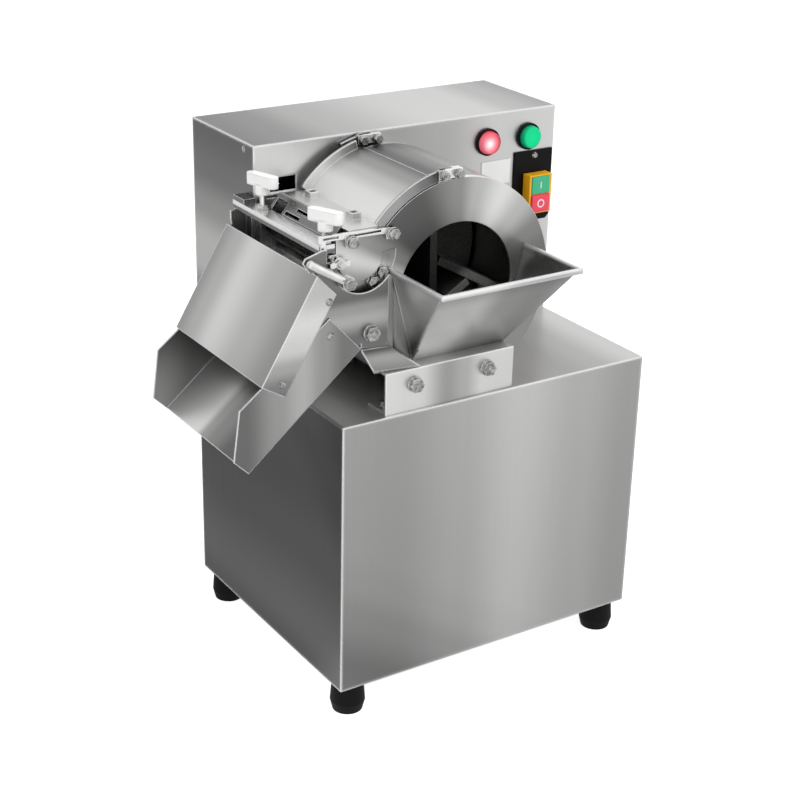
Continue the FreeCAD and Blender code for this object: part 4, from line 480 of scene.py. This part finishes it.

# %% [markdown]
# ## Turned, cast and plated metals
# Bolts, stems and the latch are bright stainless, a little mottled where a spanner has held
# them. The impeller is a rough aluminium casting, painted dark but for its right side, a painted
# shade. The bearing housing and the big pulley are grey iron, and the inner pans are zinc plated,
# with the large dull flakes that plating has. One noise of the right size gives each its spots.
# Each metal is also painted darker in its hollows, a painted shade, and may get a painted
# highlight on its edges.

# %% Other metals
def mottled_metal(name, light, dark, gloss, spot, relief=0.05 * MM, strength=0.3,
                  edge_highlight_share=0.0, rules=()):
    """A metal whose grey and gloss change over spots, with painted shade in its hollows; it may
    have painted edge highlights and painted bands of light and shade.
    """
    material, tree = blank(name)
    place = add(tree, "ShaderNodeTexCoord")
    spots = add(tree, "ShaderNodeTexNoise", {"Vector": place.outputs["Object"],
                                             "Scale": 1 / spot, "Detail": 6.0})
    spread = add(tree, "ShaderNodeMapRange", {"Value": spots.outputs[0], "From Min": 0.35,
                                              "From Max": 0.65})
    tone = add(tree, "ShaderNodeMix", {"Factor": spread.outputs[0], "A": linear(dark),
                                       "B": linear(light)}, data_type="RGBA").outputs[2]
    # Painted shade: the colour is darkened in the hollows.
    tone = painted_hollow_shade(tree, tone, 30 * MM, 0.55, 0.2)
    if rules:
        tone = add(tree, "ShaderNodeVectorMath", {0: tone, "Scale": bands(tree, rules)},
                   operation="SCALE").outputs[0]
    # A painted highlight: the edges' colour is mixed towards near-white.
    normal, glint_mask = rounded_edges(tree, 0.9 * MM, 4, 0.99, edge_highlight_share)
    tone = add(tree, "ShaderNodeMix", {"Factor": glint_mask, "A": tone, "B": linear("f6f6f6")},
               data_type="RGBA")
    rough = add(tree, "ShaderNodeMapRange", {"Value": spread.outputs[0], "To Min": gloss + 0.08,
                                             "To Max": gloss - 0.05})
    bump = add(tree, "ShaderNodeBump", {"Strength": strength, "Distance": relief,
                                        "Height": spots.outputs[0], "Normal": normal})
    finish_with(tree, add(tree, "ShaderNodeBsdfPrincipled", {
        "Base Color": tone.outputs[2], "Metallic": 1.0, "Roughness": rough.outputs[0],
        "Normal": bump.outputs[0]}))
    return material


# Painted shade on the impeller: dark all round but for its right side.
IMPELLER_PAINTED_SHADE = [(None, "turn", [], [(-60, 1.0), (0, 1.0), (45, 0.2), (180, 0.15), (270, 0.2)])]
bolt_steel = mottled_metal("rolled bolt stainless", "c4c4c3", "7e7e7d", 0.2, 3.5 * MM,
                           0.01 * MM, edge_highlight_share=0.9)
metals = {
    "m8_bolts": bolt_steel, "m6_bolts": bolt_steel, "m4_screws": bolt_steel,
    "bright_fastener": mottled_metal("bright turned stainless", "f4f4f3", "e4e4e3", 0.16,
                                     9 * MM, 0.01 * MM),
    # The tool steel's dark grey is painted shade for the dark inside of the drum, where its parts
    # sit.
    "tool_steel": mottled_metal("ground tool steel", "565655", "464645", 0.24, 6 * MM,
                                0.01 * MM),
    "cast_alloy": mottled_metal("cast aluminium", "7a7a78", "62625f", 0.45, 2 * MM, 0.3 * MM,
                                0.6),
    "impeller": mottled_metal("cast aluminium, painted shade", "aaaaa8", "8e8e8b", 0.5, 2 * MM,
                              0.3 * MM, 0.6, rules=IMPELLER_PAINTED_SHADE),
    "grey_iron": mottled_metal("grey cast iron", "5c5c5b", "434342", 0.6, 2.5 * MM, 0.4 * MM,
                               0.7),
    "zinc_steel": mottled_metal("zinc plated steel", "b6b9bb", "93979a", 0.38, 12 * MM),
}
print("other metals:", len(set(metals.values())))

# %% [markdown]
# ## Plastics, rubber and paint
# Moulded plastic is a smooth coloured body with a very fine texture from its mould. The knobs
# are white, the switch's housing is yellow, its plate black. The feet are rubber, matt and
# slightly dusty, the motor is painted, and the rating plate is white lacquer. A fine noise
# gives the texture, and a broad one the slight change of shade that any moulding has.

# %% Plastics, rubber and paint
BROAD = 18 * MM


def moulded(name, colour, shade, gloss, texture, relief=0.03 * MM, strength=0.3, shine=0.5,
            edge=0.8 * MM):
    """A moulded or painted finish: a colour, a shade of it, a texture size and soft edges."""
    material, tree = blank(name)
    place = add(tree, "ShaderNodeTexCoord")
    fine = add(tree, "ShaderNodeTexNoise", {"Vector": place.outputs["Object"],
                                            "Scale": 1 / texture, "Detail": 4.0})
    broad = add(tree, "ShaderNodeTexNoise", {"Vector": place.outputs["Object"],
                                             "Scale": 1 / BROAD, "Detail": 2.0})
    tone = add(tree, "ShaderNodeMix", {"Factor": broad.outputs[0], "A": linear(shade),
                                       "B": linear(colour)}, data_type="RGBA")
    rough = add(tree, "ShaderNodeMapRange", {"Value": fine.outputs[0], "To Min": gloss - 0.08,
                                             "To Max": gloss + 0.08})
    rounded = add(tree, "ShaderNodeBevel", {"Radius": edge}, samples=6)
    bump = add(tree, "ShaderNodeBump", {"Strength": strength, "Distance": relief,
                                        "Height": fine.outputs[0],
                                        "Normal": rounded.outputs[0]})
    finish_with(tree, add(tree, "ShaderNodeBsdfPrincipled", {
        "Base Color": tone.outputs[2], "Roughness": rough.outputs[0],
        "Normal": bump.outputs[0], "Specular IOR Level": shine}))
    return material


mouldings = {
    "white_plastic": moulded("white moulded ABS", "f8f8f7", "f0f0ef", 0.3, 0.8 * MM,
                             edge=3 * MM),
    "black_plastic": moulded("black moulded ABS", "0c0c0d", "070708", 0.45, 0.7 * MM,
                             shine=0.12),
    "yellow_plastic": moulded("yellow moulded ABS", "ffbc1c", "f8b014", 0.35, 0.8 * MM,
                              edge=1.5 * MM),
    "green_plastic": moulded("green moulded ABS", "3fbd8e", "33ae80", 0.35, 0.8 * MM),
    "red_plastic": moulded("red moulded ABS", "fa4a66", "ee3d58", 0.35, 0.8 * MM),
    "black_rubber": moulded("black foot rubber", "0f0f10", "090909", 0.6, 0.6 * MM, 0.08 * MM,
                            0.5, 0.15),
    "belt_rubber": moulded("black belt rubber", "232324", "191919", 0.7, 0.5 * MM, 0.1 * MM,
                           0.6),
    "motor_paint": moulded("grey motor enamel", "55606a", "4c565f", 0.4, 1.5 * MM, 0.1 * MM,
                           0.4),
    "plate_aluminium": moulded("white lacquered plate", "f2f2f2", "e9e9e9", 0.3, 1.0 * MM),
}
print("plastics, rubbers and paint:", len(mouldings))

# %% [markdown]
# ## Lamp lenses
# A pilot lamp has a ribbed lens of coloured polycarbonate over a light. The green one is dim
# and shows its own deep colour. The red one is lit, so its middle glows nearly white and its
# rim stays red: a glow that falls off from near the middle of the lens gives just that.

# %% Lamp lenses
RIB = 3 * MM
DOMED = (1, 0.6, 1)


def face_centre(node):
    """The middle of a node's front face, and half its width."""
    low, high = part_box(node)
    return ((low[0] + high[0]) / 2, low[1], (low[2] + high[2]) / 2), (high[0] - low[0]) / 2


def lens(name, centre, radius, colours, glow, shift=0.0):
    """A domed lens that glows from near its middle; colours go from there to its rim.

    The glow's middle is moved to the left by the shift, and depth counts for less than
    width, because the lens is domed."""
    material, tree = blank(name)
    place = add(tree, "ShaderNodeTexCoord")
    middle = (centre[0] - shift, centre[1], centre[2])
    offset = add(tree, "ShaderNodeVectorMath", {0: place.outputs["Object"], 1: middle},
                 operation="SUBTRACT")
    offset = add(tree, "ShaderNodeVectorMath", {0: offset.outputs[0], 1: DOMED},
                 operation="MULTIPLY")
    away = add(tree, "ShaderNodeVectorMath", {0: offset.outputs[0]}, operation="LENGTH")
    share = add(tree, "ShaderNodeMapRange", {"Value": away.outputs["Value"],
                                             "From Max": radius})
    tone = add(tree, "ShaderNodeValToRGB", {"Fac": share.outputs[0]})
    points = tone.color_ramp.elements
    points[0].color, points[1].color = linear(colours[0][1]), linear(colours[-1][1])
    for at, colour in colours[1:-1]:
        points.new(at).color = linear(colour)
    ribs = add(tree, "ShaderNodeTexWave", {"Vector": offset.outputs[0], "Scale": 1 / RIB,
                                           "Distortion": 0.0}, wave_type="RINGS",
               rings_direction="Y")
    bump = add(tree, "ShaderNodeBump", {"Strength": 0.15, "Distance": 0.2 * MM,
                                        "Height": ribs.outputs["Color"]})
    finish_with(tree, add(tree, "ShaderNodeBsdfPrincipled", {
        "Base Color": tone.outputs[0], "Roughness": 0.3, "Emission Color": tone.outputs[0],
        "Emission Strength": glow, "Specular IOR Level": 0.15, "Normal": bump.outputs[0]}))
    return material


GREEN = [(0, "06cc88"), (0.78, "04c482"), (0.95, "0c8a62"), (1, "075c42")]
RED = [(0, "fdeeee"), (0.22, "f7c4c9"), (0.5, "e57f8c"), (0.85, "c03a4a"), (1, "6a141c")]
green_place, _ = face_centre("lamp_lens_green")
red_place, lens_radius = face_centre("lamp_lens_red")
lenses = {
    "green_lens": lens("green polycarbonate lens", green_place, lens_radius * 1.02, GREEN, 0.26),
    "red_lens": lens("lit red polycarbonate lens", red_place, lens_radius * 1.15, RED, 0.45,
                     shift=3 * MM),
}
print("lens radius, mm:", round(lens_radius / MM, 1))

# %% [markdown]
# ## Dressing the solids
# Each solid came with a named slot for its finish. The slot's material is swapped for the one
# made above, so nothing is moved and no mesh is touched. A node with a finish of its own is
# found by its name first.

# %% Give each slot its finish
finishes = {
    "stainless_sheet": plain_sheet, "stainless_plate": plain_plate,
    "stainless_drum": mantle_steel, "housing_shell": housing_steel, "chute_hood": hood_steel,
    "chute_tray": tray_steel, "throat_front_panel": throat_steel, "feed_hopper": hopper_steel,
    "front_bracket": bracket_steel, "saddle_plate": saddle_steel,
    "front_cover_plate": cover_steel, "drum_frame_front": frame_steel,
    "bar_rest": shade_painted_plate, "slotted_plate": shade_painted_plate, "rear_clamp": shade_painted_plate,
    **metals, **mouldings, **lenses,
}
dressed = 0
for name, node in nodes.items():
    for place in node.material_slots:
        place.material = finishes.get(name) or finishes[place.material.name.split(".")[0]]
        dressed += 1
print("slots dressed:", dressed)

# %% [markdown]
# ## Soft edges on the mouldings
# Moulded knobs and buttons have round edges, which a weld and a bevel give them. The weld joins
# the solid's faces along their edges, so that the bevel can round them.

# %% Round the mouldings
EDGE_RADII = {"t_knob_front": 2.6, "t_knob_rear": 2.6, "switch_housing": 1.2,
              "start_button": 0.8, "stop_button": 0.8, "switch_plate": 0.6}
for name, radius in EDGE_RADII.items():
    weld = nodes[name].modifiers.new("weld", "WELD")
    weld.merge_threshold = 0.01 * MM
    soft = nodes[name].modifiers.new("soft edge", "BEVEL")
    soft.width = radius * MM
    soft.segments = 3
    soft.limit_method = "ANGLE"
    soft.angle_limit = radians(40)
    soft.harden_normals = True
print("edges softened on", len(EDGE_RADII), "nodes")

# %% [markdown]
# ## Marks on the buttons
# The start button has the plain bar, and the stop button the plain ring, of every switch. Each
# is a skin of white print on its button and moves with it, so it is built on the button's face.

# %% Print helpers
PRINT = 0.08 * MM


def mesh_of(name, shape):
    """The shape as a mesh; the shape is freed."""
    mesh = bpy.data.meshes.new(name)
    shape.to_mesh(mesh)
    shape.free()
    return mesh


def mark(name, shape, body):
    """A thin white print that rides on a body."""
    print_skin = in_scene(name, mesh_of(name, shape))
    print_skin.data.materials.append(mouldings["white_plastic"])
    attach(print_skin, body)


print("print thickness, mm:", PRINT / MM)

# %% Bar on the start button
BAR_WIDTH, BAR_HEIGHT = 1.3 * MM, 7 * MM
start_place, _ = face_centre("start_button")
shape = bmesh.new()
bmesh.ops.create_cube(shape, size=1.0, matrix=Matrix.Translation(Vector(start_place))
                      @ Matrix.Diagonal((BAR_WIDTH, PRINT, BAR_HEIGHT, 1)))
mark("start_mark", shape, "start")
print("bar height, mm:", BAR_HEIGHT / MM)

# %% Ring on the stop button
STEPS, OUTER, INNER = 40, 4.6 * MM, 3.2 * MM
stop_place, _ = face_centre("stop_button")
shape = bmesh.new()
rings = []
for radius, depth in ((OUTER, -PRINT / 2), (INNER, -PRINT / 2), (INNER, PRINT / 2),
                      (OUTER, PRINT / 2)):
    rings.append([shape.verts.new((stop_place[0] + radius * cos(2 * pi * step / STEPS),
                                   stop_place[1] + depth,
                                   stop_place[2] + radius * sin(2 * pi * step / STEPS)))
                  for step in range(STEPS)])
for first, second in zip(rings, rings[1:] + rings[:1]):
    for step in range(STEPS):
        after = (step + 1) % STEPS
        shape.faces.new((first[step], first[after], second[after], second[step]))
bmesh.ops.recalc_face_normals(shape, faces=shape.faces)
mark("stop_mark", shape, "stop")
print("ring across, mm:", round(2 * OUTER / MM, 1))

# %% [markdown]
# ## Floor and world
# The photograph is cut out on pure white. The floor is a wide pale sheet that is white to the
# camera and in reflections, and keeps a faint shadow. The world is white in the same way, and
# gives everything else a plain, even light.

# %% Floor
FLOOR_RADIUS, FLOOR_WASH, FLOOR_GAP = 14.0, 0.76, 0.2 * MM
floor_z = solid_box[0][2] - FLOOR_GAP


def stage_piece(name, shape, material):
    """Adds a piece of the studio."""
    thing = in_scene(name, mesh_of(name, shape))
    thing.data.materials.append(material)
    return thing


def white_to_sight(tree):
    """1 for rays from the camera, from gloss and through glass, and 0 for the rest."""
    path = add(tree, "ShaderNodeLightPath")
    first = add(tree, "ShaderNodeMath", {0: path.outputs["Is Camera Ray"],
                                         1: path.outputs["Is Glossy Ray"]}, operation="MAXIMUM")
    return add(tree, "ShaderNodeMath", {0: first.outputs[0],
                                        1: path.outputs["Is Transmission Ray"]},
               operation="MAXIMUM")


floor_paper, tree = blank("matt white paper")
seen = white_to_sight(tree)
paper_grain = add(tree, "ShaderNodeTexNoise", {"Scale": 900.0, "Detail": 3.0})
paper_tone = add(tree, "ShaderNodeMix", {"Factor": paper_grain.outputs[0],
                                         "A": linear("e6e6e6"), "B": linear("eaeaea")},
                 data_type="RGBA")
matt = add(tree, "ShaderNodeBsdfDiffuse", {"Color": paper_tone.outputs[2]})
wash = add(tree, "ShaderNodeEmission", {"Strength": FLOOR_WASH})
none = add(tree, "ShaderNodeEmission", {"Strength": 0.0})
wash = add(tree, "ShaderNodeMixShader", {0: seen.outputs[0], 1: none.outputs[0],
                                         2: wash.outputs[0]})
finish_with(tree, add(tree, "ShaderNodeAddShader", {0: matt.outputs[0], 1: wash.outputs[0]}))
shape = bmesh.new()
bmesh.ops.create_circle(shape, cap_ends=True, segments=96, radius=FLOOR_RADIUS)
bmesh.ops.translate(shape, verts=shape.verts, vec=(0, 0, floor_z))
stage_piece("floor", shape, floor_paper)
print("floor at", round(floor_z / MM, 1), "mm")

# %% World
AMBIENT = 0.5
world = bpy.data.worlds.new("studio")
bpy.context.scene.world = world
world.use_nodes = True
tree = world.node_tree
tree.nodes.clear()
seen = white_to_sight(tree)
level = add(tree, "ShaderNodeMapRange", {"Value": seen.outputs[0], "To Min": AMBIENT,
                                         "To Max": 1.0})
sky = add(tree, "ShaderNodeBackground", {"Color": (1, 1, 1, 1), "Strength": level.outputs[0]})
add(tree, "ShaderNodeOutputWorld", {"Surface": sky.outputs[0]})
print("light from all round:", AMBIENT)

# %% [markdown]
# ## The tent of grey cards
# Steel shows mostly what stands round it, so a studio sets grey cards there, out of the picture.
# One tent does it here: a mat that lies on the floor, which upright faces reflect, and a dome,
# which tops and slopes reflect. Only reflections see them. Their greys are read by compass
# direction, and both are darkest at the left, where the steel is dark.

# %% The tent of grey cards
TENT_RADIUS = 2.4


def card(name, greys, reach, levels):
    """A card's material: greys by direction, times a level that changes from near to far."""
    material, tree = blank(name)
    place = add(tree, "ShaderNodeTexCoord")
    compass = add(tree, "ShaderNodeTexGradient", {"Vector": place.outputs["Object"]},
                  gradient_type="RADIAL")
    run = run_of_greys(tree, compass.outputs["Fac"], [(turn / 360, grey)
                                                      for turn, grey in greys])
    away = add(tree, "ShaderNodeVectorMath", {0: place.outputs["Object"]}, operation="LENGTH")
    rise = add(tree, "ShaderNodeMapRange", {"Value": away.outputs["Value"], "From Min": reach[0],
                                            "From Max": reach[1], "To Min": levels[0],
                                            "To Max": levels[1]})
    finish_with(tree, add(tree, "ShaderNodeEmission", {"Color": run,
                                                       "Strength": rise.outputs[0]}))
    return material


def pitch(name, shape, material, height):
    """Sets up a part of the tent that is seen in gloss alone."""
    thing = stage_piece(name, shape, material)
    thing.location = (0, 0, height)
    thing.visible_camera = False
    thing.visible_diffuse = False
    thing.visible_transmission = False
    thing.visible_shadow = False


# Degrees run from the left (0) by the front (90), the right (180) and the back (270).
MAT_GREYS = [(0, 0.45), (35, 0.95), (70, 0.62), (125, 0.62), (180, 0.7), (245, 0.6),
             (297, 0.52), (360, 0.45)]
DOME_GREYS = [(0, 0.55), (40, 1.0), (90, 1.0), (140, 1.0), (185, 0.8), (225, 1.0),
              (262, 0.7), (300, 0.9), (360, 0.55)]
shape = bmesh.new()
bmesh.ops.create_circle(shape, cap_ends=True, segments=96, radius=TENT_RADIUS)
pitch("mat", shape, card("grey mat", MAT_GREYS, (0.2, 1.4), (1.06, 1.4)), floor_z + 0.1 * MM)

shape = bmesh.new()
bmesh.ops.create_uvsphere(shape, u_segments=64, v_segments=32, radius=TENT_RADIUS)
below = [vert for vert in shape.verts if vert.co.z < -0.01]
bmesh.ops.delete(shape, geom=below, context="VERTS")
pitch("dome", shape, card("grey dome", DOME_GREYS, (0.1, 3.0), (1.05, 1.05)), floor_z)
print("tent radius, m:", TENT_RADIUS)

# %% [markdown]
# ## Lamps
# A broad key light from the front right lights the fronts, a weaker one fills from the left,
# and one from above draws the top edges. All are large, so their shadows are soft.

# %% Lamps
AIM = Vector((0, 0, 0.2))


def softbox(name, place, size, power):
    """A square area light, turned to the machine."""
    light = bpy.data.lights.new(name, "AREA")
    light.shape = "SQUARE"
    light.size = size
    light.energy = power
    lamp = in_scene(name, light)
    lamp.location = place
    lamp.rotation_euler = (AIM - Vector(place)).to_track_quat("-Z", "Y").to_euler()
    lamp.visible_glossy = False


LAMPS = (("key", (1.3, -1.6, 1.5), 1.2, 24), ("fill", (-1.7, -0.9, 1.0), 1.4, 14),
         ("top", (0.1, 0.3, 2.1), 1.2, 13))
for name, place, size, power in LAMPS:
    softbox(name, place, size, power)
print("lamps:", len(LAMPS), "of", sum(power for *_, power in LAMPS), "W in all")
